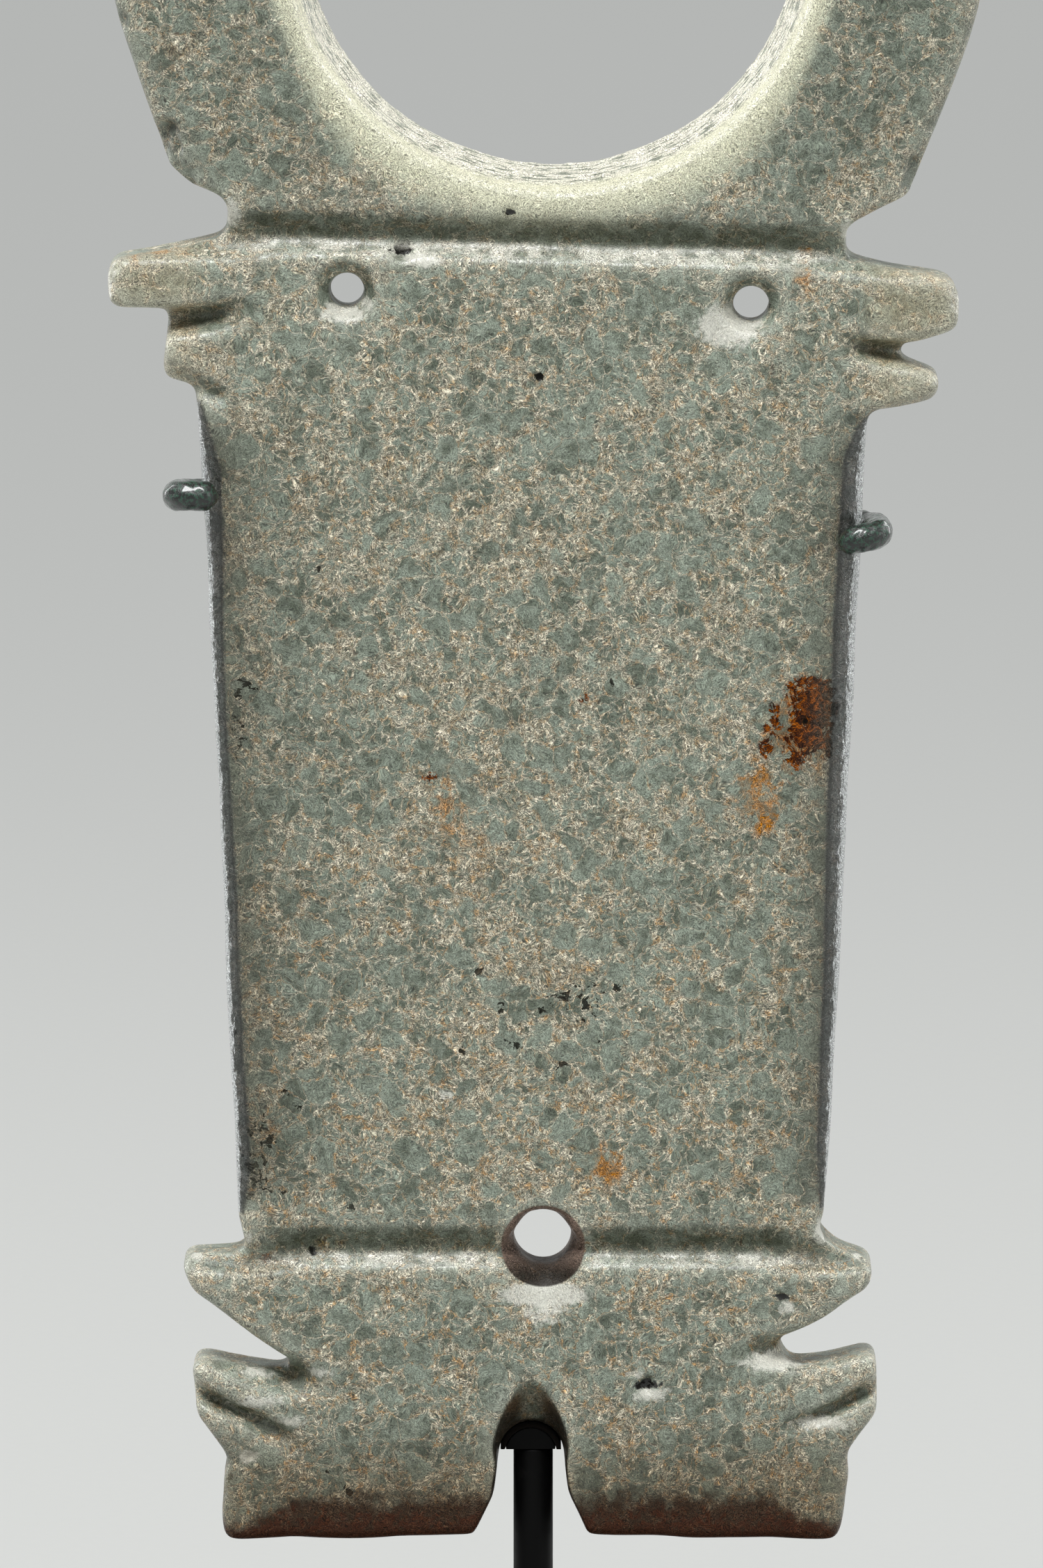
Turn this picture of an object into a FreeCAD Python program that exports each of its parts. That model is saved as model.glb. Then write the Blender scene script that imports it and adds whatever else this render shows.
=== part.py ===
import FreeCAD, Part
import math
import os

# A carved jade plaque on its display mount. Lengths are in millimetres, +Z is up, the carved face looks
# along -Y and +X is to a viewer's right. The origin is on the post's axis, in the base's underside.

V = FreeCAD.Vector
BACK = V(0, 1, 0)
UP = V(0, 0, 1)

# Jade plaque: overall sizes
stone_thickness = 7.0
half_width = 34.2
post_inset = 4.6
front_edge_round = 0.9
back_edge_round = 0.5
corner_round = 2.0

# Jade plaque: heights of the skirt's top and the long body's top above the feet, and of the lobed band
# between body and head
skirt_height = 28.0
body_height = 90.0
shoulder_height = 22.0

# Jade plaque: ring head
ring_radius = 35.3
ring_offset = 1.1
ring_hole_offset = 1.5
ring_hole_front_radius = 21.6
ring_hole_back_radius = 19.8
ring_sink_share = 0.572
ring_hole_drop = 1.15

# Jade plaque: drilled holes. The cord holes' heights are above the body's top, the waist hole's above the
# feet
left_cord_hole_radius = 1.3
left_cord_hole_reach = 15.1
left_cord_hole_height = 11.6
right_cord_hole_radius = 1.4
right_cord_hole_reach = 17.4
right_cord_hole_height = 10.5
cord_hole_mouth_radius = 2.5
cord_hole_mouth_depth = 1.6
waist_hole_radius = 2.4
waist_hole_offset = 0.8
waist_hole_height = 23.9
waist_hole_front_mouth_radius = 3.4
waist_hole_front_mouth_depth = 2.0
waist_hole_back_mouth_radius = 3.0
waist_hole_back_mouth_depth = 0.8

# Jade plaque: sawn grooves
neck_groove_width = 3.4
neck_groove_depth = 1.2
waist_groove_width = 2.9
waist_groove_depth = 1.0
shoulder_groove_width = 2.4
shoulder_groove_depth = 1.1
mouth_hollow_width = 2.6
mouth_hollow_depth = 1.2
jaw_groove_width = 1.5
jaw_groove_depth = 0.6

# Jade plaque: slot between the feet
slot_offset = 0.2
slot_width = 5.2
slot_height = 9.0
slot_mouth_width = 9.2
slot_front_height = 13.2
slot_slope_depth = 3.0
slot_flare_shares = (0.15, 0.55)

# Corners of the carved outline, from the head down. A row is the distance from the middle as a share of
# half_width, the height as a share of its band, and the rounding as a share of corner_round.
head_corner_shares = {"left": (-0.858, -0.585, 0.5), "right": (0.819, -0.655, 0.4)}
shoulder_shares = {
    "left": [
        (-0.807, 0.914, 0.6),
        (-0.724, 0.864, 0.4),
        (-0.724, 0.743, 0.4),
        (-1.000, 0.655, 0.9),
        (-0.994, 0.470, 0.5),
        (-0.854, 0.450, 0.4),
        (-0.870, 0.201, 0.5),
        (-0.790, 0.173, 0.4),
        (-0.784, 0.070, 0.6),
    ],
    "right": [
        (0.740, 0.770, 0.4),
        (0.740, 0.657, 0.4),
        (1.003, 0.576, 1.1),
        (1.003, 0.384, 0.5),
        (0.872, 0.337, 0.2),
        (0.868, 0.286, 0.2),
        (0.960, 0.218, 0.5),
        (0.944, 0.126, 0.5),
        (0.786, 0.074, 0.5),
    ],
}
skirt_shares = {
    "left": [
        (-0.697, 0.965, 0.8),
        (-0.674, 0.866, 0.35),
        (-0.835, 0.833, 0.5),
        (-0.801, 0.729, 1.0),
        (-0.577, 0.532, 0.2),
        (-0.612, 0.514, 0.4),
        (-0.807, 0.556, 0.5),
        (-0.795, 0.357, 0.7),
        (-0.724, 0.232, 0.5),
        (-0.734, 0.171, 0.6),
        (-0.713, 0.000, 0.5),
    ],
    "right": [
        (0.693, 0.964, 0.5),
        (0.676, 0.920, 0.3),
        (0.722, 0.867, 0.6),
        (0.804, 0.822, 0.8),
        (0.796, 0.734, 0.7),
        (0.577, 0.588, 0.2),
        (0.605, 0.529, 0.4),
        (0.813, 0.571, 0.5),
        (0.811, 0.364, 0.7),
        (0.737, 0.246, 0.5),
        (0.743, 0.179, 0.6),
        (0.702, 0.000, 0.5),
    ],
}

# Where the two long grooves meet the plaque's left and right edges, as shares of their band's height.
neck_groove_shares = (0.809, 0.723)
waist_groove_shares = (0.884, 0.882)

# Short grooves, each from the edge to where it runs out on the face. A row is the start and the end, each as
# shares of half_width and of its band's height.
shoulder_groove_shares = {
    "left": ((-0.870, 0.420), (-0.690, 0.400)),
    "right": ((0.880, 0.315), (0.735, 0.330)),
}
mouth_hollow_shares = {
    "left": ((-0.610, 0.538), (-0.515, 0.462)),
    "right": ((0.600, 0.570), (0.505, 0.565)),
}
jaw_groove_shares = {
    "left": ((-0.800, 0.458), (-0.545, 0.280)),
    "right": ((0.805, 0.450), (0.612, 0.336)),
}

# Post and rest
post_diameter = 3.2
foot_height_above_base = 23.0
saddle_thickness = 1.8
seat_gap = 0.1
rest_pad_thickness = 0.4
tail_width = 8.4
tail_thickness = 2.6
tail_height = 5.0
tail_gap = 0.2

# Wires, sleeves and back pads
wire_diameter = 1.6
sleeve_diameter = 2.4
wire_spacing = 4.8
wire_socket_depth = 4.0
wire_foot_length = 1.6
wire_foot_bend = 6.0
hook_bend = 2.0
sleeve_start_inset = 2.2
hook_side_gap = {"left": 0.8, "right": 0.4}
hook_reach = {"left": 1.3, "right": 1.6}
hook_front_drop = {"left": 4.8, "right": 8.3}
hook_rear_drop = {"left": 5.9, "right": 7.3}
hook_elbow_inset = 4.6
hook_face_gap = 0.2
back_pad_radius = 2.0
back_pad_thickness = 0.7
back_pad_grip = 0.5
back_pad_run_shares = (0.25, 0.8)
glue_gap = 0.02

# Base, socket, set screw and felt
felt_thickness = 1.0
felt_inset = 1.5
base_width = 90.0
base_depth = 60.0
base_height = 16.0
base_corner_round = 4.0
base_top_bevel = 1.5
bore_floor = 4.0
socket_spigot_diameter = 8.0
socket_collar_diameter = 14.0
socket_collar_height = 6.0
socket_bevel = 0.6
post_running_gap = 0.05
screw_diameter = 3.0
screw_length = 5.0
screw_height = 3.0
hex_width = 1.5
hex_depth = 1.6

overrun_length = 1.0
same_place_gap = 0.01

SIDES = {"left": -1, "right": 1}
HEX_SIDES = 6
head_foot = body_height + shoulder_height
base_top = felt_thickness + base_height
feet = base_top + foot_height_above_base
front_face = -post_inset
back_face = stone_thickness - post_inset
post_radius = post_diameter / 2
wire_radius = wire_diameter / 2
sleeve_radius = sleeve_diameter / 2
wire_plane = back_face + back_pad_thickness + wire_radius
bore_bottom = felt_thickness + bore_floor


def write(name, shape):
    """Write one piece to its own file."""
    shape.exportStep(os.path.join("parts", name + ".step"))
    box = shape.BoundBox
    print(name, "solids", len(shape.Solids), "valid", shape.isValid(), "volume", round(shape.Volume, 2),
          "z", round(box.ZMin, 2), round(box.ZMax, 2))


def rounded_path(points, radii):
    """Straight runs through the points, with a tangent arc of the given radius at each inner point."""
    edges = []
    last = points[0]
    for before, corner, after, radius in zip(points, points[1:], points[2:], radii):
        to_before = (before - corner).normalize()
        to_after = (after - corner).normalize()
        half_angle = to_before.getAngle(to_after) / 2
        longest = 0.49 * min((before - corner).Length, (after - corner).Length)
        tangent = min(radius / math.tan(half_angle), longest)
        reach = tangent * math.tan(half_angle)
        arc_start = corner + to_before * tangent
        arc_end = corner + to_after * tangent
        middle = (to_before + to_after).normalize()
        arc_middle = corner + middle * (reach / math.sin(half_angle) - reach)
        edges.append(Part.LineSegment(last, arc_start).toShape())
        edges.append(Part.Arc(arc_start, arc_middle, arc_end).toShape())
        last = arc_end
    edges.append(Part.LineSegment(last, points[-1]).toShape())
    return edges


def rod(start, end, radius):
    """Round bar between two points."""
    return Part.makeCylinder(radius, (end - start).Length, start, end - start)


def at(x, y, height):
    """Point of the plaque, with its height counted from the feet."""
    return V(x, y, feet + height)


def band_corners(shares, foot, height):
    """Outline corners of one band, as points on the front face, and their rounding radii."""
    points = [at(x * half_width, front_face, foot + z * height) for x, z, turn in shares]
    radii = [turn * corner_round for x, z, turn in shares]
    return points, radii


def ring_centre(offset):
    """Centre of the ring head on the front face."""
    return at(offset, front_face, head_foot + ring_sink_share * ring_radius)


def head_corner(side):
    """Lower corner of the head, where its flat side ends."""
    x, z, turn = head_corner_shares[side]
    return ring_centre(ring_offset) + V(x * ring_radius, 0, z * ring_radius), turn * corner_round


def ring_tangent(side):
    """Point where the head's flat side leaves the ring's circle."""
    centre = ring_centre(ring_offset)
    corner = head_corner(side)[0] - centre
    swing = math.acos(ring_radius / corner.Length) * SIDES[side]
    angle = math.atan2(corner.z, corner.x) + swing
    return centre + V(math.cos(angle) * ring_radius, 0, math.sin(angle) * ring_radius)


def side_corners(side):
    """Corners and radii of one side of the outline, from the head down to the foot."""
    corner, radius = head_corner(side)
    points, radii = [corner], [radius]
    bands = (
        (shoulder_shares[side], body_height, shoulder_height),
        (skirt_shares[side], 0, skirt_height),
    )
    for shares, foot, height in bands:
        band_points, band_radii = band_corners(shares, foot, height)
        points += band_points
        radii += band_radii
    return points, radii


def body_edge(side, height):
    """Distance of the long body's edge from the middle at a height above the feet."""
    high_x, high_z = shoulder_shares[side][-1][:2]
    low_x, low_z = skirt_shares[side][0][:2]
    top = body_height + high_z * shoulder_height
    foot = low_z * skirt_height
    share = (height - foot) / (top - foot)
    return abs(low_x + (high_x - low_x) * share) * half_width


def plaque_blank():
    """Sawn slab with the carved outline, its outer edges rounded over."""
    right_points, right_radii = side_corners("right")
    left_points, left_radii = side_corners("left")
    right_start = ring_tangent("right")
    left_start = ring_tangent("left")
    path = [right_start] + right_points + left_points[::-1] + [left_start]
    edges = rounded_path(path, right_radii + left_radii[::-1])
    crown = ring_centre(ring_offset) + UP * ring_radius
    edges.append(Part.Arc(left_start, crown, right_start).toShape())
    slab = Part.Face(Part.Wire(edges)).extrude(BACK * stone_thickness)
    for face, radius in ((front_face, front_edge_round), (back_face, back_edge_round)):
        rim = [edge for edge in slab.Edges if edge.BoundBox.YLength < same_place_gap
               and abs(edge.BoundBox.YMin - face) < same_place_gap]
        slab = slab.makeFillet(radius, rim)
    return slab


def groove(start, end, width, start_depth, end_depth):
    """Round-bottomed groove in the front face, from one point to another, that may run out at its end."""
    radius = (width * width / 4 + start_depth * start_depth) / (2 * start_depth)
    first = start + BACK * (start_depth - radius)
    last = end + BACK * (end_depth - radius)
    return rod(first, last, radius)


def long_groove(shares, foot, height, width, depth):
    """Groove right across the front, from notch to notch."""
    left, right = [at(direction * half_width, front_face, foot + z * height)
                   for direction, z in zip(SIDES.values(), shares)]
    return groove(left, right, width, depth, depth)


def short_groove(shares, foot, height, width, depth):
    """Groove from the edge that fades out on the face."""
    start, end = [at(x * half_width, front_face, foot + z * height) for x, z in shares]
    return groove(start, end, width, depth, 0)


def drilled_hole(x, height, radius, front_mouth, front_depth, back_mouth, back_depth):
    """Hole drilled from both faces, with a funnel at each mouth."""
    front = at(x, front_face, height)
    back = at(x, back_face, height)
    bore = rod(front - BACK * overrun_length, back + BACK * overrun_length, radius)
    front_funnel = Part.makeCone(front_mouth, radius, front_depth, front, BACK)
    back_funnel = Part.makeCone(back_mouth, radius, back_depth, back, -BACK)
    return bore.fuse([front_funnel, back_funnel])


def cord_hole(x, height, radius):
    """Hole for the hanging cord, in a shoulder lobe. Both of its mouths are alike."""
    return drilled_hole(x, body_height + height, radius, cord_hole_mouth_radius, cord_hole_mouth_depth,
                        cord_hole_mouth_radius, cord_hole_mouth_depth)


def slot_arch_centre():
    """Height of the slot's arch centre above the feet."""
    return slot_height - slot_width / 2


def slot_cutter():
    """Slot between the feet: an arch right through, flared at the feet, with a slope down from the front."""
    half = slot_width / 2
    mouth = slot_mouth_width / 2
    spring = slot_arch_centre()
    out, up = slot_flare_shares
    flare = [(mouth, -overrun_length), (mouth, 0), (half + (mouth - half) * out, spring * up), (half, spring)]
    right = [at(x - slot_offset, front_face - overrun_length, z) for x, z in flare]
    left = [at(-x - slot_offset, front_face - overrun_length, z) for x, z in flare]
    radii = [corner_round, corner_round]
    edges = rounded_path(right, radii)
    top = at(-slot_offset, front_face - overrun_length, slot_height)
    edges.append(Part.Arc(right[-1], top, left[-1]).toShape())
    edges += rounded_path(left[::-1], radii[::-1])
    edges.append(Part.LineSegment(left[0], right[0]).toShape())
    through = Part.Face(Part.Wire(edges)).extrude(BACK * (stone_thickness + 2 * overrun_length))
    return through.fuse(slot_slope())


def half_arch(depth, height):
    """Closed outline at a depth behind the front face: flat foot, upright sides and an elliptic top."""
    half = slot_width / 2
    spring = slot_arch_centre()
    y = front_face + depth
    foot_left, foot_right = at(-half - slot_offset, y, spring / 2), at(half - slot_offset, y, spring / 2)
    left, right = at(-half - slot_offset, y, spring), at(half - slot_offset, y, spring)
    rise = height - spring
    shoulder = math.sqrt(0.5)
    left_middle = at(-half * shoulder - slot_offset, y, spring + rise * shoulder)
    right_middle = at(half * shoulder - slot_offset, y, spring + rise * shoulder)
    curve = Part.BSplineCurve()
    curve.interpolate([left, left_middle, at(-slot_offset, y, height), right_middle, right])
    edges = [
        Part.LineSegment(foot_left, left).toShape(),
        curve.toShape(),
        Part.LineSegment(right, foot_right).toShape(),
        Part.LineSegment(foot_right, foot_left).toShape(),
    ]
    return Part.Wire(edges)


def slot_slope():
    """Sloping ceiling from the tall front arch down to the level arch."""
    front = half_arch(0, slot_front_height)
    slope = Part.makeLoft([front, half_arch(slot_slope_depth, slot_height)], True, True)
    lead = Part.Face(half_arch(-overrun_length, slot_front_height)).extrude(BACK * overrun_length)
    return slope.fuse(lead)


def jade_pendant():
    """The carved plaque, in one piece of jade."""
    stone = plaque_blank()
    centre = ring_centre(ring_hole_offset) - UP * ring_hole_drop
    widening = (ring_hole_front_radius - ring_hole_back_radius) / stone_thickness * overrun_length
    cutters = [
        Part.makeCone(ring_hole_front_radius + widening, ring_hole_back_radius - widening,
                      stone_thickness + 2 * overrun_length, centre - BACK * overrun_length, BACK),
        long_groove(neck_groove_shares, body_height, shoulder_height, neck_groove_width, neck_groove_depth),
        long_groove(waist_groove_shares, 0, skirt_height, waist_groove_width, waist_groove_depth),
        slot_cutter(),
        cord_hole(-left_cord_hole_reach, left_cord_hole_height, left_cord_hole_radius),
        cord_hole(right_cord_hole_reach, right_cord_hole_height, right_cord_hole_radius),
        drilled_hole(waist_hole_offset, waist_hole_height, waist_hole_radius,
                     waist_hole_front_mouth_radius, waist_hole_front_mouth_depth,
                     waist_hole_back_mouth_radius, waist_hole_back_mouth_depth),
    ]
    for side in SIDES:
        cutters.append(short_groove(shoulder_groove_shares[side], body_height, shoulder_height,
                                    shoulder_groove_width, shoulder_groove_depth))
        cutters.append(short_groove(mouth_hollow_shares[side], 0, skirt_height, mouth_hollow_width,
                                    mouth_hollow_depth))
        cutters.append(short_groove(jaw_groove_shares[side], 0, skirt_height, jaw_groove_width,
                                    jaw_groove_depth))
    for cutter in cutters:
        stone = stone.cut(cutter)
    return stone


def saddle_radius():
    """Radius of the saddle's round top, under the pad and the seat gap."""
    return slot_width / 2 - seat_gap - rest_pad_thickness


def saddle_foot():
    """Height of the saddle's flat underside above the feet."""
    return slot_arch_centre() + saddle_radius() - saddle_thickness


def tail_back():
    """Rear face of the saddle's tail."""
    return back_face + tail_gap + tail_thickness


def rest_saddle():
    """Half-round tongue under the slot's arch, with an upright tail behind it that holds the wires."""
    length = tail_back() + post_radius
    start = at(-slot_offset, -post_radius, slot_arch_centre())
    bar = Part.makeCylinder(saddle_radius(), length, start, BACK)
    reach = saddle_radius() + overrun_length
    above = Part.makeBox(2 * reach, length, reach + slot_arch_centre() - saddle_foot(),
                         at(-slot_offset - reach, -post_radius, saddle_foot()))
    tongue = bar.common(above)
    tail = Part.makeBox(tail_width, tail_thickness, tail_height,
                        at(-tail_width / 2, back_face + tail_gap, saddle_foot()))
    saddle = tongue.fuse(tail).removeSplitter()
    for direction in SIDES.values():
        hole_foot = wire_foot(direction) - UP * glue_gap
        saddle = saddle.cut(rod(hole_foot, hole_foot + UP * tail_height, wire_radius + glue_gap))
    return saddle


def rest_pad():
    """Thin liner over the saddle's round top, under the jade."""
    start = at(-slot_offset, -post_radius, slot_arch_centre())
    length = back_face + post_radius
    inner = saddle_radius()
    outer = inner + rest_pad_thickness
    pad = Part.makeCylinder(outer, length, start, BACK).cut(Part.makeCylinder(inner, length, start, BACK))
    above = Part.makeBox(2 * outer, length, outer + slot_arch_centre() - saddle_foot(),
                         at(-slot_offset - outer, -post_radius, saddle_foot()))
    return pad.common(above)


def post():
    """Round rod from the base's bore up to the saddle."""
    return rod(V(0, 0, bore_bottom), at(0, 0, saddle_foot()), post_radius)


def wire_foot(direction):
    """Lower end of a wire, in its socket in the tail."""
    return at(direction * wire_spacing / 2, wire_plane, saddle_foot() + tail_height - wire_socket_depth)


def hook_points(side):
    """Corners of a wire's route: up from the tail, out to the edge, forward round it and over the face."""
    direction = SIDES[side]
    foot = wire_foot(direction)
    tail_top = saddle_foot() + tail_height + wire_foot_length
    front = body_height - hook_front_drop[side]
    rear = body_height - hook_rear_drop[side]
    edge = body_edge(side, front)
    beside = direction * (edge + hook_side_gap[side] + sleeve_radius)
    elbow = direction * (edge - hook_elbow_inset)
    tip = direction * (edge - hook_reach[side] + sleeve_radius)
    face = front_face - hook_face_gap - sleeve_radius
    return [
        foot,
        at(foot.x, wire_plane, tail_top),
        at(elbow, wire_plane, rear),
        at(beside, wire_plane, rear),
        at(beside, face, front),
        at(tip, face, front),
    ]


def bent_bar(points, radii, radius):
    """Round bar along straight runs and bends."""
    path = Part.Wire(rounded_path(points, radii))
    profile = Part.Wire(Part.makeCircle(radius, points[0], points[1] - points[0]))
    return path.makePipeShell([profile], True, True)


def hook(side, radius):
    """Whole wire of one side, at a given radius."""
    return bent_bar(hook_points(side), [wire_foot_bend, hook_bend, hook_bend, hook_bend], radius)


def sleeve(side):
    """Closed-ended tube on the wire, from behind the jade to the hook's tip."""
    elbow, corner, front_corner, tip = hook_points(side)[2:]
    start = elbow + (corner - elbow).normalize() * sleeve_start_inset
    tube = bent_bar([start, corner, front_corner, tip], [hook_bend, hook_bend], sleeve_radius)
    closed = tube.fuse(Part.makeSphere(sleeve_radius, tip))
    return closed.cut(hook(side, wire_radius + glue_gap)).removeSplitter()


def back_pads():
    """Felt dots, grooved to sit on the wires, that the back of the jade leans on."""
    pads = []
    front = back_face + seat_gap
    for side in SIDES:
        low, high = hook_points(side)[1:3]
        for share in back_pad_run_shares:
            middle = low + (high - low) * share
            start = V(middle.x, front, middle.z)
            length = back_pad_thickness - seat_gap + back_pad_grip
            pad = Part.makeCylinder(back_pad_radius, length, start, BACK)
            pads.append(pad.cut(hook(side, wire_radius + glue_gap)))
    return Part.makeCompound(pads)


def upright_edges(shape):
    """Edges that run along Z."""
    return [edge for edge in shape.Edges if edge.BoundBox.ZLength > edge.Length * 0.99]


def plate(width, depth, height, foot, radius):
    """Flat block with rounded upright corners, centred on the post's axis."""
    block = Part.makeBox(width, depth, height, V(-width / 2, -depth / 2, foot))
    return block.makeFillet(radius, upright_edges(block))


def socket_bore_radius():
    """Running bore for the post."""
    return post_radius + post_running_gap


def base():
    """Heavy block with a blind bore for the socket's spigot."""
    block = plate(base_width, base_depth, base_height, felt_thickness, base_corner_round)
    rim = [edge for edge in block.Edges if edge.BoundBox.ZMin > base_top - same_place_gap]
    block = block.makeChamfer(base_top_bevel, rim)
    bore = Part.makeCylinder(socket_spigot_diameter / 2, base_height, V(0, 0, bore_bottom))
    return block.cut(bore)


def base_socket():
    """Turned bush: a spigot in the base, a collar above it, and the post's bore through both."""
    foot = V(0, 0, bore_bottom)
    spigot = Part.makeCylinder(socket_spigot_diameter / 2 - glue_gap, base_top - bore_bottom, foot)
    collar = Part.makeCylinder(socket_collar_diameter / 2, socket_collar_height, V(0, 0, base_top))
    collar_top = base_top + socket_collar_height
    rim = [edge for edge in collar.Edges if edge.BoundBox.ZMin > collar_top - same_place_gap]
    collar = collar.makeChamfer(socket_bevel, rim)
    bush = spigot.fuse(collar).removeSplitter()
    bush = bush.cut(Part.makeCylinder(socket_bore_radius(), collar_top - bore_bottom, foot))
    axis_start = V(0, 0, base_top + screw_height)
    return bush.cut(rod(axis_start, axis_start + BACK * socket_collar_diameter, screw_diameter / 2))


def set_screw():
    """Headless screw with a hexagon socket, in the collar's rear wall."""
    axis_start = V(0, socket_bore_radius(), base_top + screw_height)
    screw = Part.makeCylinder(screw_diameter / 2 - glue_gap, screw_length, axis_start, BACK)
    mouth = axis_start + BACK * (screw_length - hex_depth)
    corner = hex_width / 2 / math.cos(math.pi / HEX_SIDES)
    turns = [2 * math.pi * count / HEX_SIDES for count in range(HEX_SIDES + 1)]
    corners = [mouth + V(corner * math.cos(turn), 0, corner * math.sin(turn)) for turn in turns]
    key = Part.Face(Part.makePolygon(corners)).extrude(BACK * (hex_depth + overrun_length))
    return screw.cut(key)


def base_felt():
    """Felt sheet glued under the base."""
    width, depth = base_width - 2 * felt_inset, base_depth - 2 * felt_inset
    return plate(width, depth, felt_thickness, 0, base_corner_round)


os.makedirs("parts", exist_ok=True)
write("jade_pendant", jade_pendant())
write("rest_saddle", rest_saddle())
write("rest_pad", rest_pad())
write("post", post())
for side in SIDES:
    write(side + "_hook", hook(side, wire_radius))
    write(side + "_sleeve", sleeve(side))
write("back_pads", back_pads())
write("base", base())
write("base_socket", base_socket())
write("set_screw", set_screw())
write("base_felt", base_felt())
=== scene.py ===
import math

import bmesh
import bpy
import numpy as np
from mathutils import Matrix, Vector


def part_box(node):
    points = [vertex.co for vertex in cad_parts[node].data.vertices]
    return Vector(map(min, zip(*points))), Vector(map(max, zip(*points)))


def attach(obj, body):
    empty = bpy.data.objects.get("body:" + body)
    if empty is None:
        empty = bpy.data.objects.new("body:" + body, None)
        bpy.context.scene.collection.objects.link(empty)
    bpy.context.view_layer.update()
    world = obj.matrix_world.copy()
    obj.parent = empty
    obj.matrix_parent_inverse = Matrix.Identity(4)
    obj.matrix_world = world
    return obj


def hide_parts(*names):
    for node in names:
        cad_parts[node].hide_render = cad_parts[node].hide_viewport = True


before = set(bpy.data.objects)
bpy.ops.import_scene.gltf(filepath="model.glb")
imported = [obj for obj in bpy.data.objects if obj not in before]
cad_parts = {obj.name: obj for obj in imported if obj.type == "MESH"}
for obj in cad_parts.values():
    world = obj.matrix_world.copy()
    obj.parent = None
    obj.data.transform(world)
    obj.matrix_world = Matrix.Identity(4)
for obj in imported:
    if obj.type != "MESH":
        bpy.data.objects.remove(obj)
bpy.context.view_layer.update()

# The base is a solid steel block under matt black powder coat, heavy enough that the tall mount can't tip.
# Powder coat is sprayed dry and baked, which gives an even, slightly pebbled skin that runs soft over edges.

mm = 0.001
coat_edge_radius = 0.3
pebble_width = 0.45
rub_width = 9.0


def linear(code):
    """An sRGB hex colour as linear RGBA."""
    parts = [int(code[i:i + 2], 16) / 255 for i in (1, 3, 5)]
    return [p / 12.92 if p <= 0.04045 else ((p + 0.055) / 1.055) ** 2.4 for p in parts] + [1.0]


def new_finish(name, **sockets):
    """A material and its shader, with constant values set on the shader's own sockets."""
    finish = bpy.data.materials.new(name)
    finish.use_nodes = True
    shader = finish.node_tree.nodes["Principled BSDF"]
    for socket, value in sockets.items():
        shader.inputs[socket.replace("_", " ")].default_value = value
    return finish, shader


def add(finish, kind, inputs, out=0, **settings):
    """Add one node with its settings and links, and give back one of its outputs."""
    made = finish.node_tree.nodes.new("ShaderNode" + kind)
    for setting, value in settings.items():
        setattr(made, setting, value)
    for socket, value in inputs.items() if isinstance(inputs, dict) else enumerate(inputs):
        if isinstance(value, bpy.types.NodeSocket):
            finish.node_tree.links.new(value, made.inputs[socket])
        else:
            made.inputs[socket].default_value = linear(value) if isinstance(value, str) else value
    return made.outputs[out]


def feed(finish, shader, **outputs):
    """Link node outputs to the shader's sockets."""
    for socket, output in outputs.items():
        finish.node_tree.links.new(output, shader.inputs[socket.replace("_", " ")])


def in_mm(finish):
    """The piece's own coordinates, in millimetres."""
    place = add(finish, "TexCoord", {}, out="Object")
    return add(finish, "VectorMath", {0: place, "Scale": 1 / mm}, operation="SCALE")


def cad_copy(node, name):
    """A new object with a welded copy of a CAD node's mesh."""
    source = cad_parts[node].data
    mesh = bpy.data.meshes.new(name)
    mesh.from_pydata([v.co[:] for v in source.vertices], [], [p.vertices[:] for p in source.polygons])
    work = bmesh.new()
    work.from_mesh(mesh)
    bmesh.ops.remove_doubles(work, verts=work.verts, dist=0.002 * mm)
    bmesh.ops.recalc_face_normals(work, faces=work.faces)
    work.to_mesh(mesh)
    work.free()
    piece = bpy.data.objects.new(name, mesh)
    bpy.context.scene.collection.objects.link(piece)
    return piece


def settle(piece):
    """Turn the piece's modifiers into its mesh."""
    whole = piece.evaluated_get(bpy.context.evaluated_depsgraph_get())
    old = piece.data
    piece.data = bpy.data.meshes.new_from_object(whole)
    piece.modifiers.clear()
    bpy.data.meshes.remove(old)


def machined(node, name, edge_radius):
    """A machined piece: the CAD node's flat and round faces, with its sharp edges softly broken."""
    piece = cad_copy(node, name)
    work = bmesh.new()
    work.from_mesh(piece.data)
    bmesh.ops.dissolve_limit(work, angle_limit=math.radians(1), verts=work.verts, edges=work.edges)
    work.to_mesh(piece.data)
    work.free()
    bevel = piece.modifiers.new("edge", "BEVEL")
    bevel.width = edge_radius * mm
    bevel.segments = 3
    bevel.limit_method = "ANGLE"
    bevel.angle_limit = math.radians(35)
    settle(piece)
    piece.data.shade_smooth()
    piece.data.set_sharp_from_angle(angle=math.radians(40))
    return piece


def fit(piece, body, node, finish):
    """Give a piece its finish and put it in place of its CAD node."""
    piece.data.materials.clear()
    piece.data.materials.append(finish)
    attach(piece, body)
    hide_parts(node)


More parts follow.
